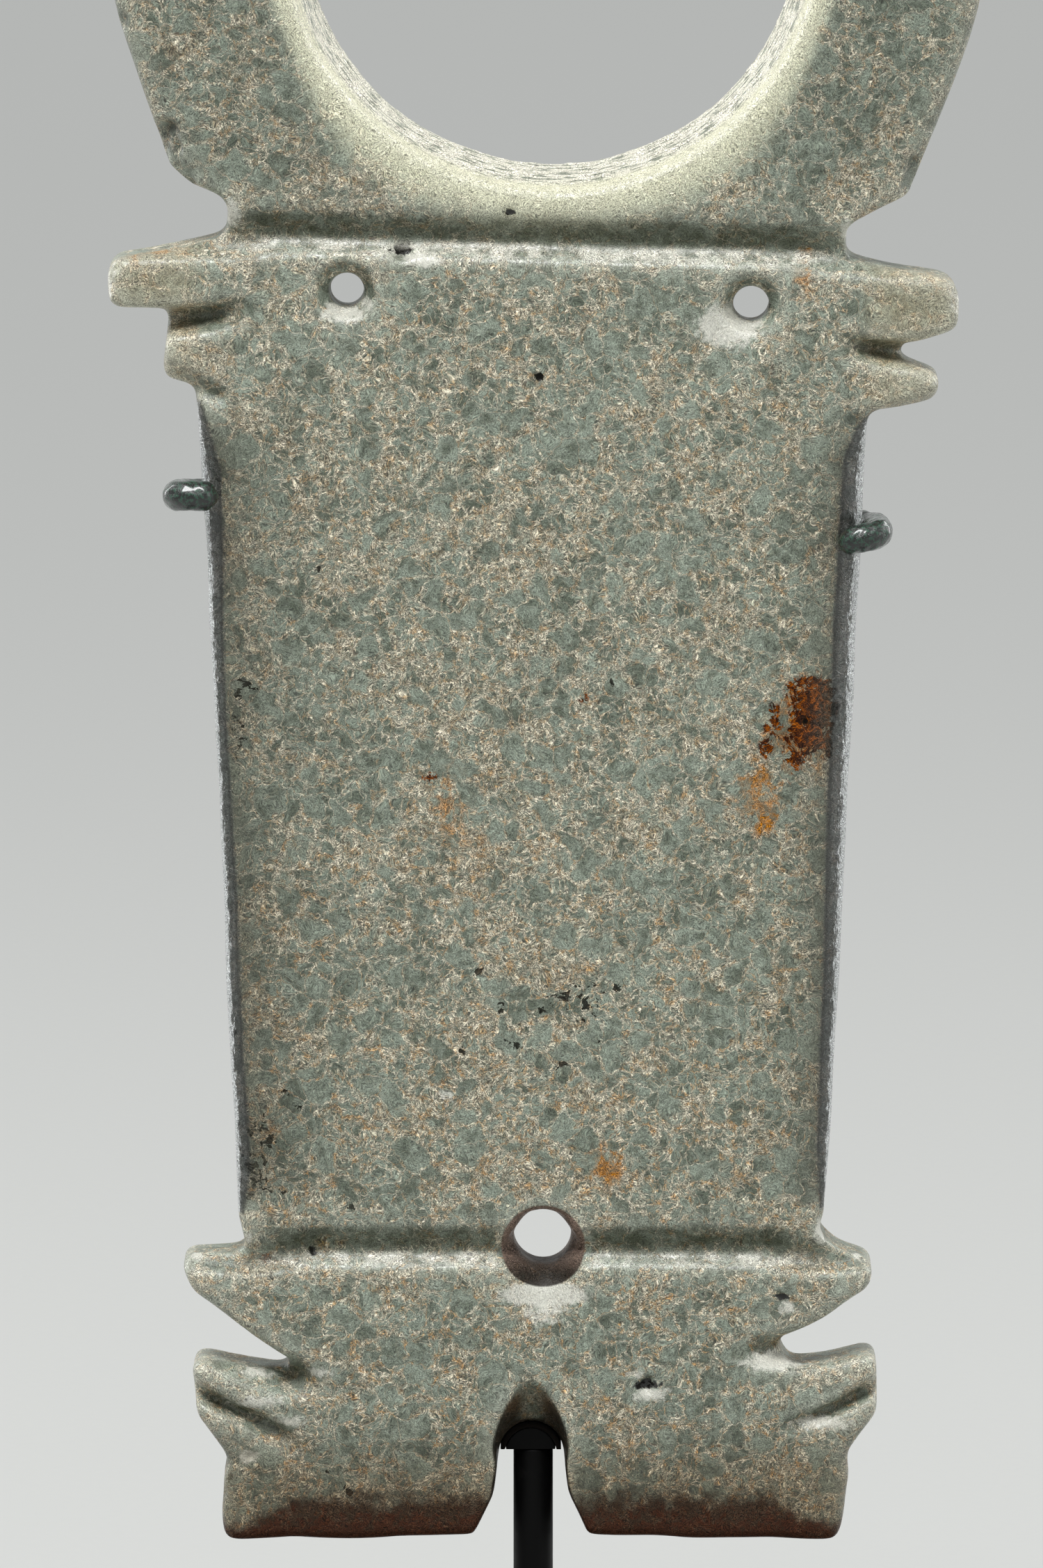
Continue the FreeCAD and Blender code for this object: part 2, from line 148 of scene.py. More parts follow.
mixed = {"data_type": "RGBA", "out": 2}
powder_coat, powder_shader = new_finish("matt_black_powder_coat", IOR=1.5)
spot = in_mm(powder_coat)
pebbles = add(powder_coat, "TexNoise", {"Vector": spot, "Scale": 1 / pebble_width, "Detail": 2})
rub = add(powder_coat, "TexNoise", {"Vector": spot, "Scale": 1 / rub_width, "Detail": 5, "Roughness": 0.6})
dust = add(powder_coat, "MapRange", (rub, 0.42, 0.75, 0.0, 0.5))
coat_colour = add(powder_coat, "Mix", {0: dust, 6: "#232425", 7: "#34353a"}, **mixed)
coat_gloss = add(powder_coat, "MapRange", (rub, 0.3, 0.7, 0.5, 0.66))
coat_skin = add(powder_coat, "Bump", {"Height": pebbles, "Strength": 0.5, "Distance": 0.03 * mm})
feed(powder_coat, powder_shader, Base_Color=coat_colour, Roughness=coat_gloss, Normal=coat_skin)

base_block = machined("base", "base_block", coat_edge_radius)
fit(base_block, "base", "base", powder_coat)

# The sheet under the base is black wool felt, die cut and glued on, so that the steel can't mark a shelf.
# Wool felt is pressed fibre with no weave: a dull, fuzzy surface that takes light softly.

felt_fibre = 0.25
felt_edge_radius = 0.35

wool_felt, felt_shader = new_finish("black_wool_felt", Roughness=0.95, Sheen_Weight=0.35, Sheen_Roughness=0.6,
                                    IOR=1.5)
spot = in_mm(wool_felt)
fibres = add(wool_felt, "TexNoise", {"Vector": spot, "Scale": 1 / felt_fibre, "Detail": 6, "Roughness": 0.75,
                                     "Distortion": 1.5})
felt_colour = add(wool_felt, "Mix", {0: fibres, 6: "#111112", 7: "#2c2c2e"}, **mixed)
felt_fuzz = add(wool_felt, "Bump", {"Height": fibres, "Strength": 0.9, "Distance": 0.12 * mm})
feed(wool_felt, felt_shader, Base_Color=felt_colour, Normal=felt_fuzz)

felt_sheet = machined("base_felt", "felt_sheet", felt_edge_radius)
fit(felt_sheet, "base", "base_felt", wool_felt)

# The socket is a bush turned from brass rod, pressed and glued into the base, and darkened to sit quietly under
# the stone. Turning leaves fine rings round it, and the darkening wears back to warmer metal on its edges.

tool_ring_pitch = 0.22
bush_edge_radius = 0.12

dark_brass, brass_shader = new_finish("darkened_turned_brass", Metallic=1.0)
spot = in_mm(dark_brass)
parts = add(dark_brass, "SeparateXYZ", (spot,))
flat_place = add(dark_brass, "CombineXYZ", (parts, parts.node.outputs[1]))
from_axis = add(dark_brass, "VectorMath", (flat_place,), out="Value", operation="LENGTH")
along_tool = add(dark_brass, "Math", (from_axis, parts.node.outputs[2]), operation="ADD")
turns = add(dark_brass, "Math", (along_tool, 2 * math.pi / tool_ring_pitch), operation="MULTIPLY")
rings = add(dark_brass, "Math", (turns,), operation="SINE")
patina = add(dark_brass, "TexNoise", {"Vector": spot, "Scale": 0.4, "Detail": 6, "Roughness": 0.65})
patina_depth = add(dark_brass, "MapRange", (patina, 0.35, 0.65))
brass_colour = add(dark_brass, "Mix", {0: patina_depth, 6: "#8a7040", 7: "#4a3d28"}, **mixed)
brass_gloss = add(dark_brass, "MapRange", (patina, 0.3, 0.7, 0.28, 0.5))
brass_rings = add(dark_brass, "Bump", {"Height": rings, "Strength": 0.35, "Distance": 0.01 * mm})
feed(dark_brass, brass_shader, Base_Color=brass_colour, Roughness=brass_gloss, Normal=brass_rings)

socket_bush = machined("base_socket", "socket_bush", bush_edge_radius)
fit(socket_bush, "base", "base_socket", dark_brass)

# The set screw is a headless steel grub screw, black oxide finished, which locks the post's turn in the bush.
# Black oxide is a thin conversion coat: dark, oily, and brown where a key has rubbed it.

screw_edge_radius = 0.08

black_oxide, oxide_shader = new_finish("black_oxide_steel", Metallic=1.0)
spot = in_mm(black_oxide)
oil = add(black_oxide, "TexNoise", {"Vector": spot, "Scale": 1.8, "Detail": 5, "Roughness": 0.6})
oxide_colour = add(black_oxide, "Mix", {0: oil, 6: "#2b2b2e", 7: "#4a4440"}, **mixed)
oxide_gloss = add(black_oxide, "MapRange", (oil, 0.3, 0.7, 0.3, 0.5))
feed(black_oxide, oxide_shader, Base_Color=oxide_colour, Roughness=oxide_gloss)

grub_screw = machined("set_screw", "grub_screw", screw_edge_radius)
fit(grub_screw, "base", "set_screw", black_oxide)

# The post is a cold drawn metal rod. The saddle is filed from bar and brazed to its top, half round where it
# goes under the jade, with an upright tail behind. Both have satin black paint, brushed on in thin coats.

rod_edge_radius = 0.2
filed_skin_width = 0.1
paint_lump_width, paint_lump_height = 2.4, 0.03
brush_mark_width = 0.5


def worn_copy(node, name, voxel, rounds):
    """A hand-finished piece: the CAD node's form as an even skin, with its edges rubbed soft."""
    piece = cad_copy(node, name)
    skin = piece.modifiers.new("skin", "REMESH")
    skin.mode = "VOXEL"
    skin.voxel_size = voxel * mm
    ease = piece.modifiers.new("ease", "SMOOTH")
    ease.factor = 0.5
    ease.iterations = rounds
    settle(piece)
    piece.data.shade_smooth()
    return piece


def points_of(piece):
    """The piece's points and their outward directions, as arrays, in millimetres."""
    count = len(piece.data.vertices)
    places, outward = np.empty(count * 3, np.float32), np.empty(count * 3, np.float32)
    piece.data.vertices.foreach_get("co", places)
    piece.data.vertices.foreach_get("normal", outward)
    return places.reshape(-1, 3).astype(float) / mm, outward.reshape(-1, 3).astype(float)


def set_points(piece, places):
    """Write the points back to the piece."""
    piece.data.vertices.foreach_set("co", (places * mm).astype(np.float32).ravel())
    piece.data.update()


def ripple(places, width, seed):
    """Smooth unevenness between about -1 and 1, whose swells are about this wide."""
    draw = np.random.default_rng(seed)
    total = np.zeros(len(places))
    for _ in range(14):
        heading = draw.normal(size=3)
        heading /= np.linalg.norm(heading)
        turn = 2 * math.pi / (2 * width * draw.uniform(0.7, 1.6))
        total += np.sin(places @ heading * turn + draw.uniform(0, 2 * math.pi))
    return total / math.sqrt(14)


def lumped(piece, height, width, seed):
    """The piece's points, moved out and in by soft lumps of this height and width."""
    places, outward = points_of(piece)
    return places + outward * (height * ripple(places, width, seed))[:, None]


mount_paint, paint_shader = new_finish("satin_black_paint", IOR=1.45, Specular_IOR_Level=0.1)
spot = in_mm(mount_paint)
brushed = add(mount_paint, "TexNoise", {"Vector": spot, "Scale": 1 / brush_mark_width, "Detail": 4,
                                        "Roughness": 0.6})
thin_spots = add(mount_paint, "TexNoise", {"Vector": spot, "Scale": 0.35, "Detail": 5, "Roughness": 0.7})
rubbed = add(mount_paint, "MapRange", (thin_spots, 0.6, 0.72, 0.0, 0.6))
paint_colour = add(mount_paint, "Mix", {0: rubbed, 6: "#060606", 7: "#121110"}, **mixed)
paint_gloss = add(mount_paint, "MapRange", (thin_spots, 0.3, 0.7, 0.42, 0.6))
paint_skin = add(mount_paint, "Bump", {"Height": brushed, "Strength": 0.4, "Distance": 0.02 * mm})
feed(mount_paint, paint_shader, Base_Color=paint_colour, Roughness=paint_gloss, Normal=paint_skin)

post_rod = machined("post", "post_rod", rod_edge_radius)
fit(post_rod, "mount", "post", mount_paint)

saddle = worn_copy("rest_saddle", "rest_saddle_filed", filed_skin_width, rounds=5)
set_points(saddle, lumped(saddle, paint_lump_height, paint_lump_width, 3))
fit(saddle, "mount", "rest_saddle", mount_paint)

# Two wires are bent by hand from annealed rod and brazed into the saddle's tail. They lean out to the jade's
# edges, turn forward round them and end in short hooks. They have the same brushed paint as the post.

wire_skin_width = 0.16
brush_lump_width, brush_lump_height = 1.6, 0.035
# how each loop was bent by hand: inward, tilted in front, and lower behind
hand_bends = {"left": (0.0, 0.0, 0.0), "right": (-0.4, -0.9, -1.1)}
loop_start, loop_blend, loop_floor = 20.0, 5.0, 112.0
loop_front, loop_depth = -6.0, 9.0
bend_place, bend_run = 28.0, 4.5


def hand_bent(places, side):
    """Draw a wire's loop to the real bend: a little inward, tilted in front and lower behind."""
    inward, tilt, drop = hand_bends[side]
    bent = places.copy()
    at_loop = np.clip((np.abs(places[:, 0]) - loop_start) / loop_blend, 0, 1) * (places[:, 2] > loop_floor)
    behind = np.clip((places[:, 1] - loop_front) / loop_depth, 0, 1)
    from_bend = bend_place - np.abs(places[:, 0])
    bent[:, 0] += inward * at_loop
    bent[:, 2] += at_loop * (drop * behind + (1 - behind) * tilt * (from_bend / bend_run - 0.35))
    return bent


for side, seed in (("left", 11), ("right", 12)):
    wire = worn_copy(side + "_hook", side + "_wire", wire_skin_width, rounds=6)
    set_points(wire, hand_bent(lumped(wire, brush_lump_height, brush_lump_width, seed), side))
    fit(wire, "mount", side + "_hook", mount_paint)

# Where a wire goes round the jade it has a sleeve of shrunk tubing, closed at the tip and daubed with uneven
# gloss paint, so that no metal touches the stone. It looks wet, lumpy and black with a green cast.

sleeve_skin_width = 0.08
sleeve_lump_width, sleeve_lump_height = 0.9, 0.06
deepest_lump, tallest_lump = -0.16, 0.13
tip_face, taper_start, taper_run, tip_taper = -4.4, 27.0, 3.0, 0.22
daub_width = 0.3

daubed_gloss, daub_shader = new_finish("daubed_green_black_gloss", IOR=1.5, Coat_Weight=0.6,
                                       Coat_Roughness=0.08)
spot = in_mm(daubed_gloss)
daubs = add(daubed_gloss, "TexNoise", {"Vector": spot, "Scale": 1 / daub_width, "Detail": 5,
                                        "Roughness": 0.65})
daub_mask = add(daubed_gloss, "MapRange", (daubs, 0.47, 0.6))
daub_colour = add(daubed_gloss, "Mix", {0: daub_mask, 6: "#070a09", 7: "#1d4433"}, **mixed)
daub_gloss = add(daubed_gloss, "MapRange", (daubs, 0.4, 0.6, 0.1, 0.36))
daub_skin = add(daubed_gloss, "Bump", {"Height": daubs, "Strength": 0.8, "Distance": 0.1 * mm})
feed(daubed_gloss, daub_shader, Base_Color=daub_colour, Roughness=daub_gloss, Normal=daub_skin)

for side, seed in (("left", 21), ("right", 22)):
    tube = worn_copy(side + "_sleeve", side + "_tube", sleeve_skin_width, rounds=5)
    places, outward = points_of(tube)
    lumps = sleeve_lump_height * (0.6 * ripple(places, sleeve_lump_width, seed)
                                  + 0.4 * ripple(places, sleeve_lump_width / 2.5, seed + 5))
    bent = hand_bent(places + outward * np.clip(lumps, deepest_lump, tallest_lump)[:, None], side)
    in_front = places[:, 1] < tip_face
    axis = bent[in_front].mean(axis=0)
    to_tip = np.clip((taper_start - np.abs(places[:, 0])) / taper_run, 0, 1) ** 2 * in_front
    bent[:, 1:] += (axis[1:] - bent[:, 1:]) * (tip_taper * to_tip)[:, None]
    set_points(tube, bent)
    fit(tube, "mount", side + "_sleeve", daubed_gloss)

# Felt dots on the wires keep the back of the jade off the metal. They are punched from the base's felt and
# notched to sit on the wire.

dot_skin_width = 0.14
fuzz_width, fuzz_height = 0.5, 0.05

felt_dots = worn_copy("back_pads", "back_felt_dots", dot_skin_width, rounds=4)
set_points(felt_dots, lumped(felt_dots, fuzz_height, fuzz_width, 31))
fit(felt_dots, "mount", "back_pads", wool_felt)

# A liner of thin dark suede is glued over the saddle's round top, so that the jade's arch rests on leather.
# Suede is split hide with a raised nap: matt, soft, with a lighter bloom where the nap lies over.

liner_skin_width = 0.09
nap_scale = 6.0

suede, suede_shader = new_finish("dark_brown_suede", Roughness=0.92, Sheen_Weight=0.05, Sheen_Roughness=0.5,
                                 IOR=1.4, Specular_IOR_Level=0.15)
spot = in_mm(suede)
nap = add(suede, "TexNoise", {"Vector": spot, "Scale": nap_scale, "Detail": 6, "Roughness": 0.7,
                              "Distortion": 0.8})
suede_colour = add(suede, "Mix", {0: nap, 6: "#0a0806", 7: "#15100c"}, **mixed)
suede_nap = add(suede, "Bump", {"Height": nap, "Strength": 0.8, "Distance": 0.06 * mm})
feed(suede, suede_shader, Base_Color=suede_colour, Normal=suede_nap)

liner = worn_copy("rest_pad", "rest_liner", liner_skin_width, rounds=2)
fit(liner, "mount", "rest_pad", suede)

# The plaque is carved from one slab of mottled jade. It was sawn with cord and grit, drilled from both faces
# and ground by hand, then rubbed to a satin polish, so every edge is round, a little uneven, and here and there
# chipped. Its sizes below are in millimetres: across from the middle, and up from the feet.

skin_width = 0.3
most_triangles = 194000
near_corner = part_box("jade_pendant")[0]
front, feet = near_corner.y / mm, near_corner.z / mm
half_width = 34.2
ring_hole_at = (1.5, 131.05)
ring_hole_radius = 21.6
ring_edge_radius = 0.35
ring_dish_side, ring_dish_foot, ring_dish_depth = 1.8, 3.6, 0.5
# the sawn grooves: height at both edges, width and depth, how much deeper and lower the rubbed one lies, the
# middle and half width of its band of painted shade and of its lower lip's painted highlight, and how far out
# these reach
neck_groove = {"left": 107.8, "right": 105.9, "width": 3.4, "depth": 1.2, "deeper": 1.35, "shift": 0.45,
               "painted_dark": (-0.55, 1.5), "rubbed": (-2.35, 0.85), "reach": 24.0}
waist_groove = {"left": 24.75, "right": 24.7, "width": 2.9, "depth": 1.0, "deeper": 1.3, "shift": 0.35,
                "painted_dark": (-0.1, 1.4), "rubbed": (-1.95, 0.75), "reach": 21.5}
# hand-cut grooves in the lobes and the skirt: where they start and end, half width and depth
troughs = [
    (-30.5, 98.7, -21.8, 100.3, 1.35, 1.7), (-27.6, 94.2, -23.6, 92.3, 1.1, 0.9),
    (31.0, 96.7, 23.6, 97.3, 1.25, 1.6), (27.6, 91.4, 24.2, 90.4, 1.0, 0.8),
    (-24.5, 15.6, -16.6, 12.0, 1.5, 1.7), (25.0, 16.8, 16.4, 15.4, 1.4, 1.5),
    (-28.5, 13.7, -16.8, 5.9, 1.0, 1.35), (28.5, 13.0, 18.8, 8.2, 1.0, 1.2),
]
# heights above a sawn groove's line, and the share of its depth there
groove_profile = [(-2.9, 0.0), (-2.45, 0.1), (-1.7, 0.8), (-1.25, 1.0), (-0.7, 0.97), (0.0, 0.68), (0.8, 0.3),
                  (1.7, 0.06), (2.4, 0.0)]
# heights up the body's ground edges, and how wide the facet is there
edge_facets = {
    "left": [(26.5, 0.3), (30.0, 1.0), (45.0, 0.95), (70.0, 0.8), (80.0, 1.15), (87.0, 1.4), (93.0, 0.2)],
    "right": [(27.0, 0.3), (32.0, 0.9), (50.0, 1.2), (75.0, 1.7), (88.0, 1.5), (91.5, 0.3)],
}
facet_rise, facet_slope = 1.05, 0.95
full_bend = 0.35
crease_depth, crease_half_width = 0.22, 0.45
# how deep behind the face dishes, grooves and troughs begin and cease to fade
dish_fade, groove_fade, trough_fade = (1.2, 4.2), (1.6, 3.6), (2.0, 5.0)
left_cord_at, right_cord_at, cord_mouth_radius = (-15.1, 101.6), (17.4, 100.5), 2.5
waist_hole_at, waist_mouth_radius = (0.8, 23.9), 3.4
# worn dishes just below the drilled holes: middle, radius and depth
hole_dishes = [(-15.3, 100.2, 3.4, 0.55), (16.4, 98.8, 4.2, 0.6), (0.8, 21.2, 4.2, 0.8)]
# how the drilled bores run: middle and radius, shifted aside and up, widened, and from which depth on
bore_moves = [
    (*left_cord_at, 1.3, 0.17, -0.25, 0.12, -1.0),
    (*right_cord_at, 1.4, 0.0, -0.2, 0.15, -1.0),
    (*waist_hole_at, 2.5, 0.0, 0.45, 0.0, 0.6),
]
# rings that rubbing didn't reach: middle and radius
sharp_rings = [
    (*ring_hole_at, ring_hole_radius),
    (*left_cord_at, cord_mouth_radius),
    (*right_cord_at, cord_mouth_radius),
    (*waist_hole_at, waist_mouth_radius),
]
# where the stone's outline leaves the drawn one: the place, then how far across and up
nudge_reach = 2.6
outline_nudges = [
    (-34.0, 102.5, 0.0, -0.3), (-31.3, 104.4, 0.0, -0.75), (-28.2, 105.2, 0.0, -0.78),
    (-26.3, 106.0, 0.2, -0.75), (-25.0, 107.9, 0.4, -0.5), (-26.3, 109.8, 0.0, 0.0),
    (25.6, 105.8, -0.35, -0.35), (26.6, 103.4, -0.3, -0.6), (29.1, 103.1, 0.0, -0.6),
    (32.9, 102.3, 0.0, -0.55), (34.2, 101.0, -0.3, -0.4), (34.4, 99.6, -0.3, 0.0), (30.4, 97.1, -0.5, -0.5),
    (31.6, 94.6, -0.1, -0.5), (32.6, 93.8, 0.0, 0.0), (-29.2, 98.9, 0.0, 0.0), (-29.5, 96.0, 0.0, 0.0),
    (27.0, 109.0, 0.0, 0.0), (-26.0, 23.4, 0.0, -0.78), (-23.8, 24.3, 0.1, -1.0), (-27.9, 22.5, -0.2, -0.25),
    (-25.4, 18.7, -0.25, -0.1), (-21.3, 16.0, 0.8, -0.9), (-23.8, 14.9, 0.0, -1.1),
    (-26.6, 15.0, -0.1, -0.85), (-24.3, 0.7, -0.7, -0.4), (-15.0, 0.0, 0.0, -0.2), (-24.6, 6.0, 0.0, 0.0),
    (25.3, 23.7, 0.0, -0.7), (23.7, 25.0, -0.2, -0.8), (27.6, 21.0, 0.1, 0.0), (20.3, 16.7, 0.0, -0.3),
    (21.5, 15.0, 0.0, -1.2), (24.0, 15.1, 0.0, -1.25), (26.9, 15.4, 0.0, -0.9), (27.5, 12.5, 0.15, 0.0),
    (23.9, 0.5, 0.7, -0.35), (15.0, 0.0, 0.0, -0.2), (24.6, 6.0, 0.1, 0.0),
]
# chips off the edges: middle, depth behind the face, radius, facing and cut
chips = [
    (-28.6, 113.2, 0.4, 2.6, (-0.75, -0.65, -0.1), 0.55),
    (-27.4, 110.6, 0.4, 2.0, (-0.6, -0.7, -0.4), 0.5),
    (30.4, 111.2, 0.5, 2.6, (0.7, -0.65, -0.3), 0.6),
    (31.9, 113.6, 0.4, 1.8, (0.75, -0.6, 0.1), 0.5),
    (35.0, 119.9, 0.5, 2.2, (0.8, -0.6, 0.1), 0.6),
    (-33.0, 121.0, 0.5, 3.2, (-0.8, -0.6, 0.1), 0.4),
    (-33.9, 102.5, 0.6, 1.6, (-0.8, -0.6, 0.2), 0.45),
    (33.8, 101.0, 0.6, 1.5, (0.8, -0.6, 0.2), 0.4),
    (27.3, 23.0, 0.6, 1.4, (0.7, -0.6, 0.3), 0.4),
    (-25.0, 4.8, 0.5, 1.5, (-0.75, -0.65, 0.0), 0.4),
]
# pits in the face: middle, radius and depth
pits = [
    (-10.5, 104.7, 1.15, 0.6), (-1.9, 107.8, 0.45, 0.35), (0.45, 94.6, 0.5, 0.35), (9.1, 12.6, 0.9, 0.55),
    (20.1, 19.8, 0.55, 0.4), (-17.8, 23.4, 0.45, 0.3), (21.85, 66.7, 0.45, 0.35), (-22.9, 6.7, 0.6, 0.3),
]


def ease_in(value, start, end):
    """0 at start, 1 at end, with a soft run between."""
    share = np.clip((value - start) / (end - start), 0, 1)
    return share * share * (3 - 2 * share)


def neighbour_mean(places, edges, counts):
    """Each point's mean of its neighbours."""
    total = np.empty_like(places)
    for axis in range(3):
        total[:, axis] = (np.bincount(edges[:, 0], places[edges[:, 1], axis], len(places))
                          + np.bincount(edges[:, 1], places[edges[:, 0], axis], len(places)))
    return total / counts[:, None]


def net_of(piece):
    """The piece's edges as an array, and how many meet at each point."""
    edges = np.empty(len(piece.data.edges) * 2, np.int32)
    piece.data.edges.foreach_get("vertices", edges)
    edges = edges.reshape(-1, 2)
    return edges, np.maximum(np.bincount(edges.ravel(), minlength=len(piece.data.vertices)), 1)


def outline_at(across, up):
    """The plaque's left and right edge at each point's height."""
    step = 2.5 * skin_width
    lowest = math.floor(up.min() / step)
    row = np.floor(up / step).astype(int) - lowest
    left, right = np.full(row.max() + 1, np.inf), np.full(row.max() + 1, -np.inf)
    np.minimum.at(left, row, across)
    np.maximum.at(right, row, across)
    filled = np.isfinite(left)
    centres = (np.flatnonzero(filled) + 0.5 + lowest) * step
    return np.interp(up, centres, left[filled]), np.interp(up, centres, right[filled])


def groove_change(across, up, groove):
    """How much deeper the face lies once a sawn groove has its steep foot and its long, rubbed upper slope."""
    middle = np.interp(across, (-half_width, half_width), (groove["left"], groove["right"]))
    above = up - middle
    width, depth = groove["width"], groove["depth"]
    radius = (width * width / 4 + depth * depth) / (2 * depth)
    sawn = np.clip(np.sqrt(np.clip(radius * radius - above * above, 0, None)) - (radius - depth), 0, None)
    heights, shares = zip(*groove_profile)
    rubbed = depth * groove["deeper"] * np.interp((above + groove["shift"]) * 3.4 / width, heights, shares)
    return rubbed - sawn


def trough(across, up, line):
    """A hand-cut groove that runs in from the outline and dies away."""
    x0, h0, x1, h1, half, depth = line
    along = np.array([x1 - x0, h1 - h0])
    length = np.linalg.norm(along)
    along = along / length
    run = (across - x0) * along[0] + (up - h0) * along[1]
    aside = -(across - x0) * along[1] + (up - h0) * along[0]
    fade = ease_in(run, length, length * 0.5) * (run > -6)
    return depth * np.clip(1 - (aside / half) ** 2, 0, 1) ** 1.4 * fade


def nudge(across, up):
    """Draw the outline to the stone's own uneven line, with most of the change at the edges."""
    moved, total = np.zeros((len(across), 2)), np.full(len(across), 0.15)
    for x, h, dx, dh in outline_nudges:
        near = np.exp(-((across - x) ** 2 + (up - h) ** 2) / nudge_reach ** 2)
        moved += near[:, None] * np.array([dx, dh])
        total += near
    moved = moved / total[:, None]
    return across + moved[:, 0], up + moved[:, 1]


def carve(places):
    """Rub the sawn form into the real one: groove slopes, edge facets, a broken ring edge, worn dishes."""
    across, deep, up = places[:, 0], places[:, 1] - front, places[:, 2] - feet
    at_front = 1 - ease_in(deep, *dish_fade)
    for groove in (neck_groove, waist_groove):
        change = groove_change(across, up, groove)
        deep = deep + change * (1 - ease_in(deep, *groove_fade))
    for line in troughs:
        deep = deep + trough(across, up, line) * (1 - ease_in(deep, *trough_fade))
    from_ring = np.hypot(across - ring_hole_at[0], up - ring_hole_at[1])
    low_side = ease_in((ring_hole_at[1] - up) / ring_hole_radius, 0.2, 0.95)
    dish_width = ring_dish_side + (ring_dish_foot - ring_dish_side) * low_side
    rim = 1 - np.clip((from_ring - ring_hole_radius) / dish_width, 0, 1)
    edge = 1 - np.clip((from_ring - ring_hole_radius) / ring_edge_radius, 0, 1)
    deep = deep + (ring_dish_depth * rim ** 1.7 + 0.2 * edge ** 1.5) * at_front
    for x, h, radius, dish in hole_dishes:
        away = np.hypot(across - x, up - h)
        deep = deep + dish * (1 - ease_in(away, 0, radius)) * at_front
    left, right = outline_at(across, up)
    for side, inset in (("left", across - left), ("right", right - across)):
        heights, widths = zip(*edge_facets[side])
        facet = np.interp(up, heights, widths, 0, 0) * ((up > heights[0]) & (up < heights[-1]))
        facet_depth = facet * facet_rise - inset * facet_slope
        deep = np.where(facet > 0, np.maximum(deep, facet_depth), deep)
        crease = np.clip(1 - np.abs(inset - facet * 1.1) / crease_half_width, 0, 1)
        deep = deep + crease_depth * crease * (facet > 0.4) * at_front
    for x, h, radius, aside, rise, widen, start in bore_moves:
        away = np.hypot(across - x, up - h)
        share = (1 - ease_in(away, radius + 0.3, radius + 1.2)) * ease_in(deep, start, start + 1.0)
        wider = share * widen / np.maximum(away, 0.5)
        across, up = across + share * aside + wider * (across - x), up + share * rise + wider * (up - h)
    across, up = nudge(across, up)
    return np.column_stack([across, deep + front, up + feet])


def keep_on_points(piece, fields):
    """Store named fields on the piece's points, for its finish to read."""
    for name, values in fields.items():
        layer = piece.data.attributes.new(name, "FLOAT", "POINT")
        layer.data.foreach_set("value", values.astype(np.float32))


plaque = worn_copy("jade_pendant", "jade_plaque", skin_width * 1.1, rounds=0)
places, outward = points_of(plaque)
set_points(plaque, carve(places))
again = plaque.modifiers.new("skin", "REMESH")
again.mode = "VOXEL"
again.voxel_size = skin_width * mm
settle(plaque)

places, outward = points_of(plaque)
edges, counts = net_of(plaque)
across, up = places[:, 0], places[:, 2] - feet
kept = np.zeros(len(places))
for x, h, radius in sharp_rings:
    kept = np.maximum(kept, 1 - ease_in(np.abs(np.hypot(across - x, up - h) - radius), 0.5, 1.4))
worn_share = (1 - 0.85 * kept)[:, None]
for _ in range(6):
    places += 0.5 * worn_share * (neighbour_mean(places, edges, counts) - places)
across, up = places[:, 0], places[:, 2] - feet
at_front = 1 - ease_in(places[:, 1] - front, 1.0, 3.5)
for x, h, deep, radius, facing, cut in chips:
    centre = np.array([x, front + deep, feet + h])
    facing = np.array(facing) / np.linalg.norm(facing)
    near = 1 - ease_in(np.linalg.norm(places - centre, axis=1), radius * 0.7, radius)
    proud = (places - centre) @ facing + cut * 0.35 - 0.12 * ripple(places, 0.7, 71)
    places -= facing * (np.clip(proud, 0, None) * near)[:, None]
for number, (x, h, radius, depth) in enumerate(pits):
    away = np.hypot(across - x, up - h) * (1 + 0.3 * ripple(places, 0.6, 80 + number))
    places[:, 1] += depth * (1 - ease_in(away, radius * 0.25, radius)) * at_front
set_points(plaque, places)
places, outward = points_of(plaque)
hand_ground = 0.06 * ripple(places, 9.0, 41) + 0.03 * ripple(places, 3.2, 42)
places = places + outward * hand_ground[:, None]

# how far each point bends in or out: the finish paints hollows darker as painted shade and convex lips paler as
# painted highlight
mean = places.copy()
for _ in range(24):
    mean = neighbour_mean(mean, edges, counts)
bend = np.einsum("ij,ij->i", mean - places, outward)
set_points(plaque, places)
keep_on_points(plaque, {"hollow": np.clip(bend / full_bend, 0, 1), "lip": np.clip(-bend / full_bend, 0, 1)})

thin = plaque.modifiers.new("thin", "DECIMATE")
thin.ratio = min(1, most_triangles / (2 * len(plaque.data.polygons)))
settle(plaque)
plaque.data.shade_smooth()
